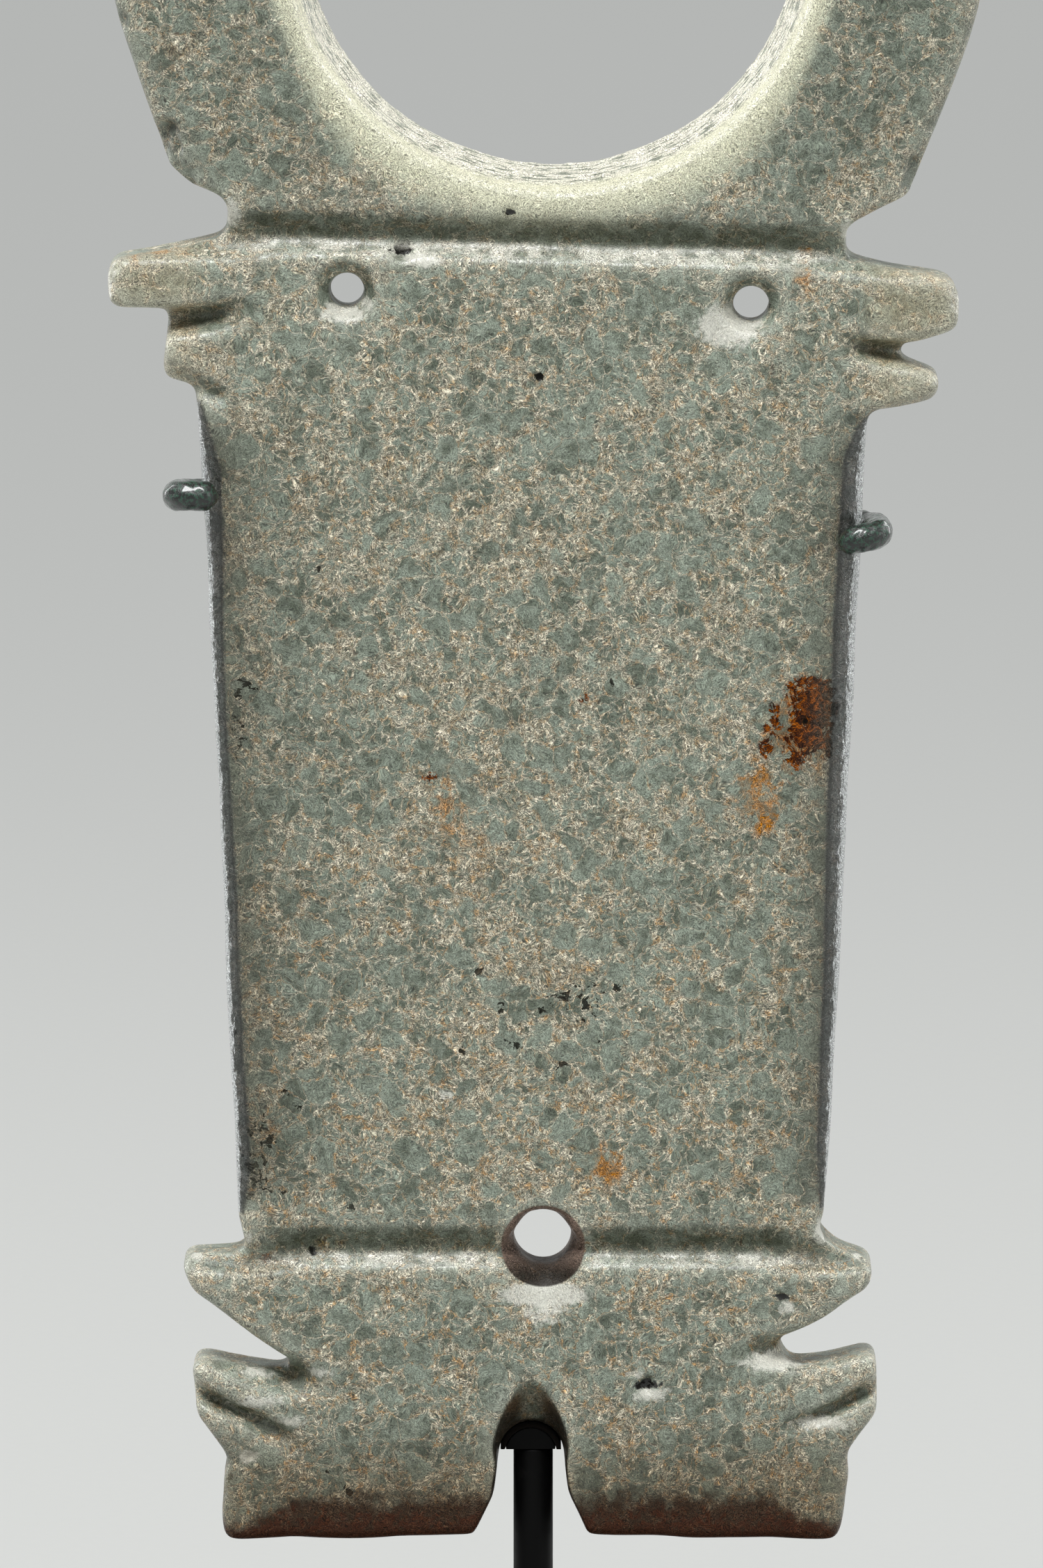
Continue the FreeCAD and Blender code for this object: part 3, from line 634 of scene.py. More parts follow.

# Marks of long burial and use, each with its place across and up, its half width and half height, and its
# strength: rust along a crack, the yellow stain round it, dark specks, painted shade in pockets, notches and
# creases, and pale scuff marks with painted highlights.

rust_marks = [
    (22.5, 67.8, 1.5, 1.9, 2.3), (22.0, 65.4, 1.5, 1.2, 1.9), (20.9, 63.8, 0.8, 1.1, 0.9),
    (21.4, 69.3, 1.1, 0.8, 0.95), (19.4, 66.9, 0.5, 1.1, 1.25), (18.8, 65.2, 0.4, 1.3, 1.05),
    (23.4, 69.0, 0.8, 1.0, 1.2), (23.5, 65.2, 0.5, 1.3, 1.3), (-3.4, 69.5, 0.35, 0.3, 0.9),
    (-8.2, 62.2, 0.5, 0.4, 0.85), (3.9, 68.6, 0.5, 0.35, 0.55), (6.0, 30.6, 0.5, 0.6, 0.8),
    (-21.6, 22.8, 0.4, 0.4, 0.8),
]
stain_marks = [
    (21.2, 66.6, 3.0, 4.4, 0.75), (18.6, 60.6, 2.3, 3.0, 0.6), (-21.4, 33.4, 2.4, 2.2, 0.25),
    (18.5, 61.4, 1.0, 1.6, 1.2), (18.7, 59.0, 0.9, 1.6, 1.0), (17.2, 61.4, 1.1, 0.6, 0.9),
    (-7.0, 60.0, 2.6, 4.6, 0.3), (-4.2, 56.0, 1.2, 2.6, 0.27), (6.0, 30.8, 1.6, 1.8, 0.6),
    (27.6, 107.5, 2.2, 1.2, 0.4), (-30.5, 104.4, 2.8, 1.3, 0.5), (21.5, 103.6, 0.8, 2.6, 0.7),
    (32.0, 101.0, 1.8, 1.8, 0.45),
]
speck_marks = [
    (3.6, 44.0, 3.0, 2.4, 1.0), (-2.4, 43.6, 0.7, 1.0, 1.5), (-4.3, 46.5, 0.5, 0.4, 1.6),
    (0.9, 43.5, 0.8, 0.6, 1.5), (-5.9, 39.9, 0.6, 0.35, 1.7), (-4.9, 41.0, 0.35, 0.4, 1.8),
    (-3.5, 38.4, 0.6, 0.3, 1.7), (-1.3, 40.3, 0.4, 0.5, 1.8), (-6.0, 36.2, 0.35, 0.35, 1.8),
    (2.4, 38.8, 0.5, 0.4, 1.7), (5.2, 40.4, 0.4, 0.5, 1.7), (6.9, 45.2, 0.5, 0.35, 1.7),
    (-23.0, 70.0, 1.4, 0.9, 1.2), (-23.6, 66.4, 0.8, 3.8, 1.1), (-22.6, 30.0, 1.7, 3.2, 1.2),
    (-21.7, 33.9, 1.2, 0.6, 1.3), (-20.6, 28.8, 0.8, 1.0, 1.3), (-22.2, 33.4, 1.4, 1.2, 1.2),
    (-19.4, 35.4, 0.8, 0.5, 1.6), (-21.0, 32.4, 0.9, 0.7, 1.3), (-17.3, 79.1, 0.4, 0.35, 1.9),
    (-14.7, 27.2, 0.4, 0.4, 1.9), (-19.9, 36.9, 0.5, 0.4, 1.9), (-19.3, 35.1, 0.35, 0.5, 1.9),
    (-20.8, 42.1, 0.35, 0.35, 1.9), (-24.2, 41.3, 0.5, 0.4, 1.8), (-12.2, 43.6, 0.3, 0.35, 1.9),
    (-10.9, 33.2, 0.35, 0.35, 1.9), (-8.6, 31.5, 0.35, 0.4, 1.9), (6.2, 70.0, 0.35, 0.35, 1.9),
    (-21.2, 21.4, 0.4, 0.4, 1.9), (-18.0, 23.4, 0.3, 0.5, 2.0), (-1.9, 107.6, 0.9, 0.6, 1.2),
    (9.1, 12.6, 1.3, 0.6, 1.3), (0.45, 94.6, 0.5, 0.4, 2.0), (-10.5, 104.7, 1.0, 0.6, 1.5),
    (18.8, 100.0, 0.4, 0.5, 1.5), (28.0, 96.6, 0.5, 0.3, 1.6), (-16.9, 5.6, 0.6, 0.4, 1.6),
    (-15.0, 3.9, 0.5, 0.5, 1.7), (-24.6, 5.0, 0.4, 0.6, 1.4),
]
# painted shade in the mouth pockets, under the lobes, in the creases and in the holes' upper funnels
painted_dark_marks = [
    (-19.2, 13.5, 2.0, 0.9, 1.0), (18.9, 15.2, 2.2, 0.8, 1.0), (-26.2, 99.0, 3.2, 0.7, 0.7),
    (26.5, 96.4, 3.4, 0.7, 0.7), (-22.4, 32.6, 2.2, 3.6, 0.4), (-23.4, 11.0, 4.5, 0.5, 0.6),
    (-16.6, 101.9, 1.2, 1.2, 0.5), (15.9, 101.8, 1.3, 1.0, 0.4),
]
# pale marks: scuff marks, dishes under the holes that are partly painted highlight, and painted highlights on
# notch ends and on lobe and skirt tips
scuff_and_highlight_marks = [
    (-24.1, 107.8, 0.8, 1.3, 0.9), (25.0, 106.3, 0.45, 1.2, 0.9), (-15.2, 99.7, 1.9, 0.8, 1.1),
    (-13.4, 100.4, 1.0, 0.8, 0.6), (15.6, 98.7, 2.5, 1.5, 1.4), (0.9, 20.0, 3.2, 0.9, 1.7),
    (0.9, 18.6, 1.8, 1.2, 0.8), (-23.0, 6.7, 0.8, 0.5, 1.2), (9.6, 11.8, 1.5, 0.5, 1.1),
    (8.2, 13.4, 1.0, 0.4, 0.8), (20.6, 19.0, 0.8, 0.5, 0.9), (-22.4, 11.2, 2.6, 0.6, 0.8),
    (-19.8, 9.6, 2.0, 0.5, 0.7), (-22.0, 13.4, 2.2, 0.6, 0.7), (-17.4, 13.6, 1.4, 0.5, 0.7),
    (-8.9, 104.0, 1.6, 0.6, 1.0), (19.5, 14.4, 2.8, 0.8, 1.0), (23.6, 9.4, 3.0, 0.6, 0.8),
    (34.3, 99.8, 0.35, 2.2, 1.3), (-34.1, 101.4, 0.35, 1.6, 1.3), (-7.0, 36.4, 0.5, 0.35, 1.2),
    (-27.3, 23.1, 0.6, 0.6, 1.1), (26.3, 23.1, 0.5, 0.5, 1.1), (23.2, 25.2, 0.6, 1.2, 0.9),
    (-23.0, 24.6, 0.4, 0.6, 0.8),
]
lobe_start, lobe_foot, lobe_top = (25.5, 28.5), 92.0, 108.0
# the slot's arch, painted dark as painted shade: middle, half width and top
arch_middle, arch_half_width, arch_top = -0.2, 4.6, 13.6
# painted shade darkens the face of the body towards its sides, fading inward over this reach
painted_shade_foot, painted_shade_top = (26.0, 29.0), (88.0, 95.0)
painted_shade_reach = {"left": 3.9, "right": 2.1}


def mark_field(across, up, marks, flat=1):
    """How strongly a list of marks shows at each point."""
    field = np.zeros(len(across))
    for x, h, wide, tall, strength in marks:
        away = ((across - x) / wide) ** 2 + ((up - h) / tall) ** 2
        field = np.maximum(field, strength * np.exp(-away ** flat))
    return field


places, outward = points_of(plaque)
across, up = places[:, 0], places[:, 2] - feet
deep = places[:, 1] - front
at_front = 1 - ease_in(deep, 1.5, 3.0)
left, right = outline_at(across, up)
facet, facet_run, shade = np.zeros(len(places)), np.zeros(len(places)), np.zeros(len(places))
on_body = ease_in(up, *painted_shade_foot) * (1 - ease_in(up, *painted_shade_top)) * at_front
for side, inset in (("left", across - left), ("right", right - across)):
    heights, widths = zip(*edge_facets[side])
    wide = np.interp(up, heights, widths) * ((up > heights[0]) & (up < heights[-1])) * 1.15
    on_facet = (1 - ease_in(inset, wide - 0.15, wide + 0.25)) * (1 - ease_in(deep, wide + 0.5, wide + 2.0))
    facet = np.maximum(facet, on_facet * (wide > 0.3))
    facet_run = np.maximum(facet_run, np.clip(1 - inset / np.maximum(wide, 0.3), 0, 1))
    # painted shade towards the body's sides, kept as "shade"
    shade = np.maximum(shade, np.exp(-np.clip(inset - wide, 0, None) / painted_shade_reach[side]) * on_body)
# painted shade in the grooves' dark bands ("sunk") and painted highlight on their lower lips ("rubbed")
sunk, rubbed = np.zeros(len(places)), np.zeros(len(places))
for groove in (neck_groove, waist_groove):
    above = up - np.interp(across, (-half_width, half_width), (groove["left"], groove["right"]))
    inward = 1 - ease_in(np.abs(across), groove["reach"] - 3.0, groove["reach"] + 3.0)
    for total, (centre, half) in ((sunk, groove["painted_dark"]), (rubbed, groove["rubbed"])):
        band = (1 - ease_in(np.abs(above - centre), half * 0.35, half)) * inward * at_front
        np.maximum(total, band, out=total)
sunk = np.maximum(sunk, 0.8 * mark_field(across, up, painted_dark_marks) * at_front)
near_holes = np.zeros(len(places))
for x, h, radius in sharp_rings[1:]:
    near_holes = np.maximum(near_holes, 1 - ease_in(np.hypot(across - x, up - h), radius + 0.2, radius + 1.0))
from_ring = np.hypot(across - ring_hole_at[0], up - ring_hole_at[1])
facing_in = (outward[:, 0] * (ring_hole_at[0] - across) + outward[:, 2] * (ring_hole_at[1] - up)) / from_ring
low_side = ease_in((ring_hole_at[1] - up) / ring_hole_radius, 0.4, 1.0)
on_side = 1 - ease_in(from_ring - ring_hole_radius, 0.6, 2.2 + 2.4 * low_side)
fields = {
    "rust": mark_field(across, up, rust_marks, 1.5) * at_front,
    "stain": mark_field(across, up, stain_marks) * at_front,
    "speck": mark_field(across, up, speck_marks, 2) * at_front,
    "pale": mark_field(across, up, scuff_and_highlight_marks) * at_front,
    "facet": facet,
    "facet_run": facet_run,
    "shade": shade * (1 - facet),
    "sunk": sunk * (1 - near_holes),
    "rubbed": rubbed * (1 - near_holes),
    "near_holes": near_holes,
    "arch": (((np.abs(across - arch_middle) < arch_half_width) & (up < arch_top) & (outward[:, 1] < 0.6))
             * ease_in(outward[:, 1], -0.88, -0.6)),
    "lobe": ease_in(np.abs(across), *lobe_start) * (up > lobe_foot) * (up < lobe_top) * at_front,
    "ring_wall": (from_ring < ring_hole_radius + 0.5) * ease_in(facing_in, 0.45, 0.8),
    "ring_side": on_side * (from_ring > ring_hole_radius - 0.6) * at_front,
}
keep_on_points(plaque, fields)

# Jade is a felted mass of tiny crystals. Here pale celadon to grey-green grains, 0.5 to 3 mm across, lie in a
# net of cream and tan threads that tangle into crackled seams. Burial left rust, specks and a red-brown foot.
# The polish is satin: soft highlights, glossier on rubbed lips and duller along the seams.

grain_widths = (2.0, 0.92, 0.45)
burial_line = 3.6
# the pits' dark mouths: middle, half width and half height
pit_mouths = [
    (-10.5, 104.7, 0.85, 0.45), (9.1, 12.6, 1.2, 0.34), (20.1, 19.8, 0.55, 0.28), (21.85, 66.7, 0.24, 0.24),
    (-17.8, 23.4, 0.3, 0.4), (0.45, 94.6, 0.34, 0.34), (-1.9, 107.8, 0.42, 0.26),
]

jade, jade_shader = new_finish("polished_mottled_jade", IOR=1.62, Subsurface_Weight=0.12,
                               Subsurface_Radius=(1.0, 1.15, 0.9), Subsurface_Scale=0.5 * mm)
spot = in_mm(jade)
plus, minus, times = {"operation": "ADD"}, {"operation": "SUBTRACT"}, {"operation": "MULTIPLY"}
larger, distance = {"operation": "MAXIMUM"}, {"operation": "DISTANCE", "out": "Value"}
soft = {"interpolation_type": "SMOOTHSTEP"}

parts = add(jade, "SeparateXYZ", (spot,))
across_stone, back, height = parts, parts.node.outputs[1], parts.node.outputs[2]
deep_stone = add(jade, "Math", (back, front), **minus)
up_stone = add(jade, "Math", (height, feet), **minus)
flat_spot = add(jade, "CombineXYZ", (across_stone, 0.0, up_stone))
on_face = add(jade, "MapRange", (deep_stone, 1.2, 2.2, 1.0, 0.0), **soft)
# how strongly each kind of mark shows, as the plaque's points keep it
kept_on_points = {name: add(jade, "Attribute", (), out="Fac", attribute_name=name)
                  for name in (*fields, "hollow", "lip")}

# the place is moved about three times, so that outlines drawn there bend, turn ragged and fray
drawn = [spot]
for width, reach, detail in ((2.0, 1.9, 2), (0.5, 0.55, 3), (0.15, 0.13, 2)):
    drift = add(jade, "TexNoise", {"Vector": drawn[-1], "Scale": 1 / width, "Detail": detail,
                                   "Roughness": 0.55}, out="Color")
    drift = add(jade, "VectorMath", (drift, (0.5, 0.5, 0.5)), **minus)
    drift = add(jade, "VectorMath", {0: drift, "Scale": reach}, operation="SCALE")
    drawn.append(add(jade, "VectorMath", (drawn[-1], drift), **plus))
bent, ragged, frayed = drawn[1:]

# unevenness of many widths in millimetres, each with its detail, roughness and the place it is drawn at
swells = {}
for name, width, detail, rough, at in (
        ("patches", 3.2, 4, 0.6, spot), ("broad", 20.0, 3, 0.55, spot), ("clouds", 0.9, 5, 0.6, bent),
        ("film", 0.55, 4, 0.7, bent), ("tangle", 0.7, 3, 0.6, ragged), ("cream", 0.75, 4, 0.7, spot),
        ("haze", 0.9, 4, 0.7, spot), ("curl", 0.3, 2, 0.55, frayed), ("soak", 1.3, 5, 0.65, spot),
        ("fray", 0.6, 5, 0.75, bent), ("rust", 0.5, 4, 0.75, ragged), ("mouth", 0.5, 3, 0.6, spot),
        ("root", 0.6, 3, 0.6, ragged), ("stray", 0.45, 3, 0.6, ragged), ("scuff", 0.6, 5, 0.7, spot),
        ("painted_dark", 0.5, 5, 0.7, spot), ("earth", 1.6, 5, 0.65, spot), ("clay", 0.7, 5, 0.7, spot),
        ("grit", 0.1, 2, 0.7, frayed), ("dust", 0.09, 1, 0.5, frayed)):
    swells[name] = add(jade, "TexNoise", {"Vector": at, "Scale": 1 / width, "Detail": detail,
                                          "Roughness": rough})

shades, rims = [], []
for width in grain_widths:
    cell = add(jade, "TexVoronoi", {"Vector": ragged, "Scale": 1 / width}, out="Color")
    shades.append(add(jade, "SeparateColor", (cell,)))
    edge = add(jade, "TexVoronoi", {"Vector": frayed, "Scale": 1 / width}, feature="DISTANCE_TO_EDGE")
    rims.append(add(jade, "Math", (edge, width), **times))

# how thickly threads crowd: near the rims of grains, in patches, and fewer on the ring's sides, the lobes,
# the grooves' painted highlight and painted shade, and the pale marks
near_rim = add(jade, "MapRange", (rims[0], 0.0, 0.45, 1.0, 0.0), **soft)
broken = add(jade, "MapRange", (shades[0], 0.35, 0.6), **soft)
near_small_rim = add(jade, "MapRange", (rims[1], 0.0, 0.28, 1.0, 0.0), **soft)
near_small_rim = add(jade, "Math", (near_small_rim, broken), **times)
density = add(jade, "Math", (near_rim, near_small_rim), **larger)
density = add(jade, "Math", (density, 0.55), **times)
for swell, low, high, least, most in (("patches", 0.36, 0.72, -0.25, 0.5), ("tangle", 0.3, 0.7, -0.22, 0.22),
                                      ("broad", 0.35, 0.65, -0.1, 0.1)):
    part = add(jade, "MapRange", (swells[swell], low, high, least, most), **soft)
    density = add(jade, "Math", (density, part), **plus)
for name, loss in (("ring_side", -0.5), ("lobe", -0.05), ("rubbed", -0.25), ("pale", -0.3), ("sunk", -0.2)):
    part = add(jade, "Math", (kept_on_points[name], loss), **times)
    density = add(jade, "Math", (density, part), use_clamp=True, **plus)

# threads are thin bright lines along the grains' rims, with curls between them
coarse_thread = add(jade, "MapRange", (rims[0], 0.01, 0.08, 1.0, 0.0), **soft)
middle_thread = add(jade, "MapRange", (rims[1], 0.01, 0.06, 1.0, 0.0), **soft)
crowd = add(jade, "Math", (broken, density), **plus)
crowd = add(jade, "MapRange", (crowd, 0.2, 0.9, 0.2, 1.0), **soft)
middle_thread = add(jade, "Math", (middle_thread, crowd), **times)
fine_thread = add(jade, "MapRange", (rims[2], 0.005, 0.05, 1.0, 0.0), **soft)
crowd = add(jade, "MapRange", (density, 0.12, 0.6), **soft)
fine_thread = add(jade, "Math", (fine_thread, crowd), **times)
curl = add(jade, "Math", (swells["curl"], 0.5), **minus)
curl = add(jade, "Math", (curl,), operation="ABSOLUTE")
curl = add(jade, "MapRange", (curl, 0.0, 0.04, 1.0, 0.0), **soft)
crowd = add(jade, "MapRange", (density, 0.2, 0.7), **soft)
thread = add(jade, "Math", (curl, crowd), **times)
for part in (coarse_thread, middle_thread, fine_thread):
    thread = add(jade, "Math", (thread, part), **larger)
worn_away = add(jade, "MapRange", (swells["film"], 0.35, 0.6, 0.15, 1.0), **soft)
thread = add(jade, "Math", (thread, worn_away), **times)

# grains differ in tone, and a thin brown haze lies where threads crowd
tone = swells["clouds"]
for shade, share in zip(shades, (0.2, 0.15, 0.12)):
    part = add(jade, "Math", (shade.node.outputs[1], share), **times)
    tone = add(jade, "Math", (tone, part), **plus)
tone = add(jade, "MapRange", (tone, 0.48, 0.99), **soft)
haze = add(jade, "MapRange", (swells["haze"], 0.42, 0.62), **soft)
haze_colour = add(jade, "Mix", {0: haze, 6: "#716c58", 7: "#796146"}, **mixed)
haze_share = add(jade, "MapRange", (density, 0.1, 0.95, 0.0, 0.5), **soft)
cream = add(jade, "MapRange", (swells["cream"], 0.44, 0.62), **soft)
low_down = add(jade, "MapRange", (up_stone, 25.0, 80.0, 1.0, 0.0), **soft)
tan = add(jade, "Mix", {0: low_down, 6: "#ad9068", 7: "#ba8f56"}, **mixed)
thread_colour = add(jade, "Mix", {0: cream, 6: "#e4dbc4", 7: tan}, **mixed)
thread_share = add(jade, "MapRange", (density, 0.0, 0.6, 0.35, 0.85), **soft)
thread_share = add(jade, "Math", (thread, thread_share), **times)

# the stain soaks in along the threads, and the rust fills them
threads_first = add(jade, "MapRange", (density, 0.0, 0.9, 0.2, 0.6), **soft)
part = add(jade, "Math", (thread, 0.5), **times)
threads_first = add(jade, "Math", (threads_first, part), **plus)
stained = add(jade, "MapRange", (swells["soak"], 0.3, 0.7, -0.9, 0.9))
stained = add(jade, "Math", (kept_on_points["stain"], stained), **plus)
stained = add(jade, "MapRange", (stained, 0.15, 0.8), **soft)
within = add(jade, "MapRange", (kept_on_points["stain"], 0.05, 0.4), **soft)
stained = add(jade, "Math", (stained, within), **times)
stained = add(jade, "Math", (stained, threads_first), **times)
rusted = add(jade, "MapRange", (swells["fray"], 0.3, 0.7, -2.0, 1.3))
part = add(jade, "Math", (thread, 0.3), **times)
rusted = add(jade, "Math", (rusted, part), **plus)
rusted = add(jade, "Math", (kept_on_points["rust"], rusted), **plus)
rusted = add(jade, "MapRange", (rusted, 0.0, 0.3), **soft)
within = add(jade, "MapRange", (kept_on_points["rust"], 0.05, 0.3), **soft)
rusted = add(jade, "Math", (rusted, within), **times)
rust_shade = add(jade, "MapRange", (swells["rust"], 0.37, 0.56), **soft)
rust_colour = add(jade, "Mix", {0: rust_shade, 6: "#9a5000", 7: "#301000"}, **mixed)

# specks are short dark roots where grit lodged in the crackle, with a few strays
part = add(jade, "Math", (kept_on_points["speck"], 0.262), **times)
root = add(jade, "Math", (swells["root"], part), **plus)
root = add(jade, "MapRange", (root, 0.82, 0.84, 0.0, 0.93), **soft)
stray = add(jade, "MapRange", (swells["stray"], 0.695, 0.745, 0.0, 0.75), **soft)

# the drilled ring's wall is cream and drawn out in fine lines by the turning drill
ring_x = add(jade, "Math", (across_stone, ring_hole_at[0]), **minus)
ring_h = add(jade, "Math", (up_stone, ring_hole_at[1]), **minus)
round_ring = add(jade, "Math", (ring_h, ring_x), operation="ARCTAN2")
round_ring = add(jade, "Math", (round_ring, 0.2 * ring_hole_radius), **times)
drill_place = add(jade, "CombineXYZ", (round_ring, deep_stone))
drill_lines = add(jade, "TexNoise", {"Vector": drill_place, "Scale": 3.1, "Detail": 4, "Roughness": 0.65})
drill_lines = add(jade, "MapRange", (drill_lines, 0.41, 0.51), **soft)
wall_colour = add(jade, "Mix", {0: drill_lines, 6: "#808678", 7: "#e4e0d0"}, **mixed)

# pale, ragged patches: scuff marks of bruised stone, worn dishes under the holes that are partly painted
# highlight, and painted highlights on notch ends and on lobe and skirt tips
scuffs_and_highlights = add(jade, "MapRange", (swells["scuff"], 0.3, 0.7, -0.35, 0.35))
scuffs_and_highlights = add(jade, "Math", (kept_on_points["pale"], scuffs_and_highlights), **plus)
scuffs_and_highlights = add(jade, "MapRange", (scuffs_and_highlights, 0.2, 0.75), **soft)
within = add(jade, "MapRange", (kept_on_points["pale"], 0.02, 0.4, 0.0, 0.85), **soft)
scuffs_and_highlights = add(jade, "Math", (scuffs_and_highlights, within), **times)

# the body's ground edges run from a painted shade along the inner line, through a dark grey painted
# reflection, to a painted highlight on the outer arris
painted_dark = add(jade, "MapRange", (swells["painted_dark"], 0.35, 0.65), **soft)
facet_reflection_grey = add(jade, "Mix", {0: painted_dark, 6: "#1c1e1d", 7: "#494c4b"}, **mixed)
edge_place = add(jade, "VectorMath", (spot, (1.0, 1.0, 0.3)), **times)
edge_streak = add(jade, "TexNoise", {"Vector": edge_place, "Scale": 4.5, "Detail": 3, "Roughness": 0.7})
# the arris line is a painted highlight, and the inner line below is a painted shade in the crease
arris = add(jade, "Math", (kept_on_points["facet_run"], edge_streak), **plus)
arris = add(jade, "MapRange", (arris, 1.1, 1.26), **soft)
arris = add(jade, "Math", (kept_on_points["facet"], arris), **times)
inner_line = add(jade, "MapRange", (kept_on_points["facet_run"], 0.0, 0.3, 1.0, 0.0), **soft)
inner_line = add(jade, "Math", (kept_on_points["facet"], inner_line), **times)

# the waist hole's drilled wall is brown, darkest at its foot, and the slot's arch is painted dark as painted
# shade in the recess, darkest low down
wall_shade = add(jade, "MapRange", (up_stone, 21.2, 23.8), **soft)
bore_colour = add(jade, "Mix", {0: wall_shade, 6: "#241c18", 7: "#7a675c"}, **mixed)
off_centre = add(jade, "VectorMath", (flat_spot, (waist_hole_at[0], 0.0, waist_hole_at[1])), **distance)
in_bore = add(jade, "MapRange", (off_centre, waist_mouth_radius - 0.1, waist_mouth_radius + 0.08, 0.95, 0.0),
              **soft)
short_of_back = add(jade, "MapRange", (deep_stone, 5.4, 6.4, 1.0, 0.0), **soft)
in_bore = add(jade, "Math", (in_bore, short_of_back), **times)
arch_shade = add(jade, "MapRange", (up_stone, 9.0, 13.0), **soft)
arch_shade_colour = add(jade, "Mix", {0: arch_shade, 6: "#1f1812", 7: "#6b523a"}, **mixed)

# the grooves' lower lips are paler as painted highlight, hollows and the grooves' bands darker as painted
# shade, and the feet stood in red earth
off_holes = add(jade, "MapRange", (kept_on_points["near_holes"], 0.0, 1.0, 0.6, 0.15))
hollow_shade_share = add(jade, "Math", (kept_on_points["hollow"], off_holes), **times)
uneven = add(jade, "MapRange", (swells["earth"], 0.38, 0.62, 0.35, 0.68), **soft)
sunk_share = add(jade, "Math", (kept_on_points["sunk"], uneven), **times)
uneven = add(jade, "MapRange", (swells["earth"], 0.4, 0.6, 0.12, 0.72), **soft)
lip_highlight_share = add(jade, "Math", (kept_on_points["rubbed"], uneven), **times)
ragged_height = add(jade, "MapRange", (swells["earth"], 0.3, 0.7, -0.9, 0.9))
ragged_height = add(jade, "Math", (up_stone, ragged_height), **plus)
from_middle = add(jade, "Math", (across_stone,), operation="ABSOLUTE")
corner_clean = add(jade, "MapRange", (from_middle, 19.0, 23.5, 0.0, 2.2), **soft)
band_height = add(jade, "Math", (ragged_height, corner_clean), **plus)
earth_share = add(jade, "MapRange", (band_height, burial_line - 1.3, burial_line + 1.0, 0.92, 0.0), **soft)
clay = add(jade, "MapRange", (swells["clay"], 0.35, 0.65, -1.2, 1.2), **soft)
clay = add(jade, "Math", (up_stone, clay), **plus)
clay = add(jade, "MapRange", (clay, 0.6, 2.6), **soft)
red_earth = add(jade, "Mix", {0: clay, 6: "#552814", 7: "#49352a"}, **mixed)
# the legs above the earth are darker and browner: partly burial stain, partly painted shade where the light
# falls off towards the feet
legs_stain_and_shade_share = add(jade, "MapRange", (ragged_height, burial_line, burial_line + 8.0, 0.75, 0.0), **soft)

# fine grit makes the polish twinkle, most where threads crowd and least on the pale scuff marks and
# painted highlights
grit = add(jade, "Math", (swells["grit"], swells["dust"]), **plus)
swing_reach = add(jade, "MapRange", (density, 0.0, 0.8, 2.9, 5.2), **soft)
less_grit_where_pale = add(jade, "MapRange", (scuffs_and_highlights, 0.0, 0.85, 1.0, 0.4))
swing_reach = add(jade, "Math", (swing_reach, less_grit_where_pale), **times)
swing = add(jade, "Math", (grit, 1.0), **minus)
swing = add(jade, "Math", (swing, swing_reach), **times)
swing = add(jade, "Math", (swing, 0.97), **plus)
swing = add(jade, "Math", (swing, 0.3), **larger)
grit_shade = add(jade, "CombineColor", (swing, swing, swing))

# the most that each colour covers where its mark is strongest: "lip" is a painted highlight on convex lips,
# "facet" a dark painted reflection, "arch" painted shade in the slot, and "shade" painted shade towards the
# body's sides
shares = {}
for name, most in (("facet", 0.9), ("arch", 0.9), ("lip", 0.45), ("lobe", 0.34), ("ring_wall", 0.9),
                   ("ring_side", 0.78), ("shade", 0.92)):
    shares[name] = add(jade, "Math", (kept_on_points[name], most), **times)
ring_share = add(jade, "MapRange", (up_stone, 107.0, 113.0, 0.0, 0.42), **soft)
on_ring = add(jade, "Math", (kept_on_points["ring_side"], kept_on_points["ring_wall"]), **plus)
ring_share = add(jade, "Math", (ring_share, on_ring), use_clamp=True, **minus)

# the colours lie over each other in this order, from the grains up to the earth on the feet
colour = add(jade, "Mix", {0: tone, 6: "#545c4e", 7: "#8e988a"}, **mixed)
for share, over in (
        (haze_share, haze_colour), (thread_share, thread_colour), (stained, "#a86c12"), (rusted, rust_colour),
        (shares["lobe"], "#ac9a75"), (root, "#17150f"), (stray, "#34332a"), (shares["ring_wall"], wall_colour),
        (shares["ring_side"], "#dcdabd"), (shares["lip"], "#cfcfbf"), (hollow_shade_share, "#3d3e28"),
        (sunk_share, "#32351f"), (lip_highlight_share, "#dedccf"), (scuffs_and_highlights, "#dcdbd0"), (shares["facet"], facet_reflection_grey),
        (inner_line, "#23241f"), (arris, "#bfc2c2"), (in_bore, bore_colour), (shares["arch"], arch_shade_colour),
        (earth_share, red_earth)):
    colour = add(jade, "Mix", {0: share, 6: colour, 7: over}, **mixed)
for x, h, wide, tall in pit_mouths:
    squeezed = add(jade, "VectorMath", (flat_spot, (1 / wide, 0.0, 1 / tall)), **times)
    away = add(jade, "VectorMath", (squeezed, (x / wide, 0.0, h / tall)), **distance)
    uneven = add(jade, "MapRange", (swells["mouth"], 0.3, 0.7, -0.5, 0.5))
    away = add(jade, "Math", (away, uneven), **plus)
    share = add(jade, "MapRange", (away, 0.8, 1.1, 0.97, 0.0), **soft)
    share = add(jade, "Math", (share, on_face), **times)
    colour = add(jade, "Mix", {0: share, 6: colour, 7: "#0e0d0a"}, **mixed)
# multiplied over it: the legs' darker tint, a darker ring top, the painted shade towards the body's sides
# ("shade"), and the grit
for share, over in (
        (legs_stain_and_shade_share, "#a3957c"), (ring_share, "#b9bab6"), (shares["shade"], "#918e82"), (1.0, grit_shade)):
    colour = add(jade, "Mix", {0: share, 6: colour, 7: over}, blend_type="MULTIPLY", **mixed)

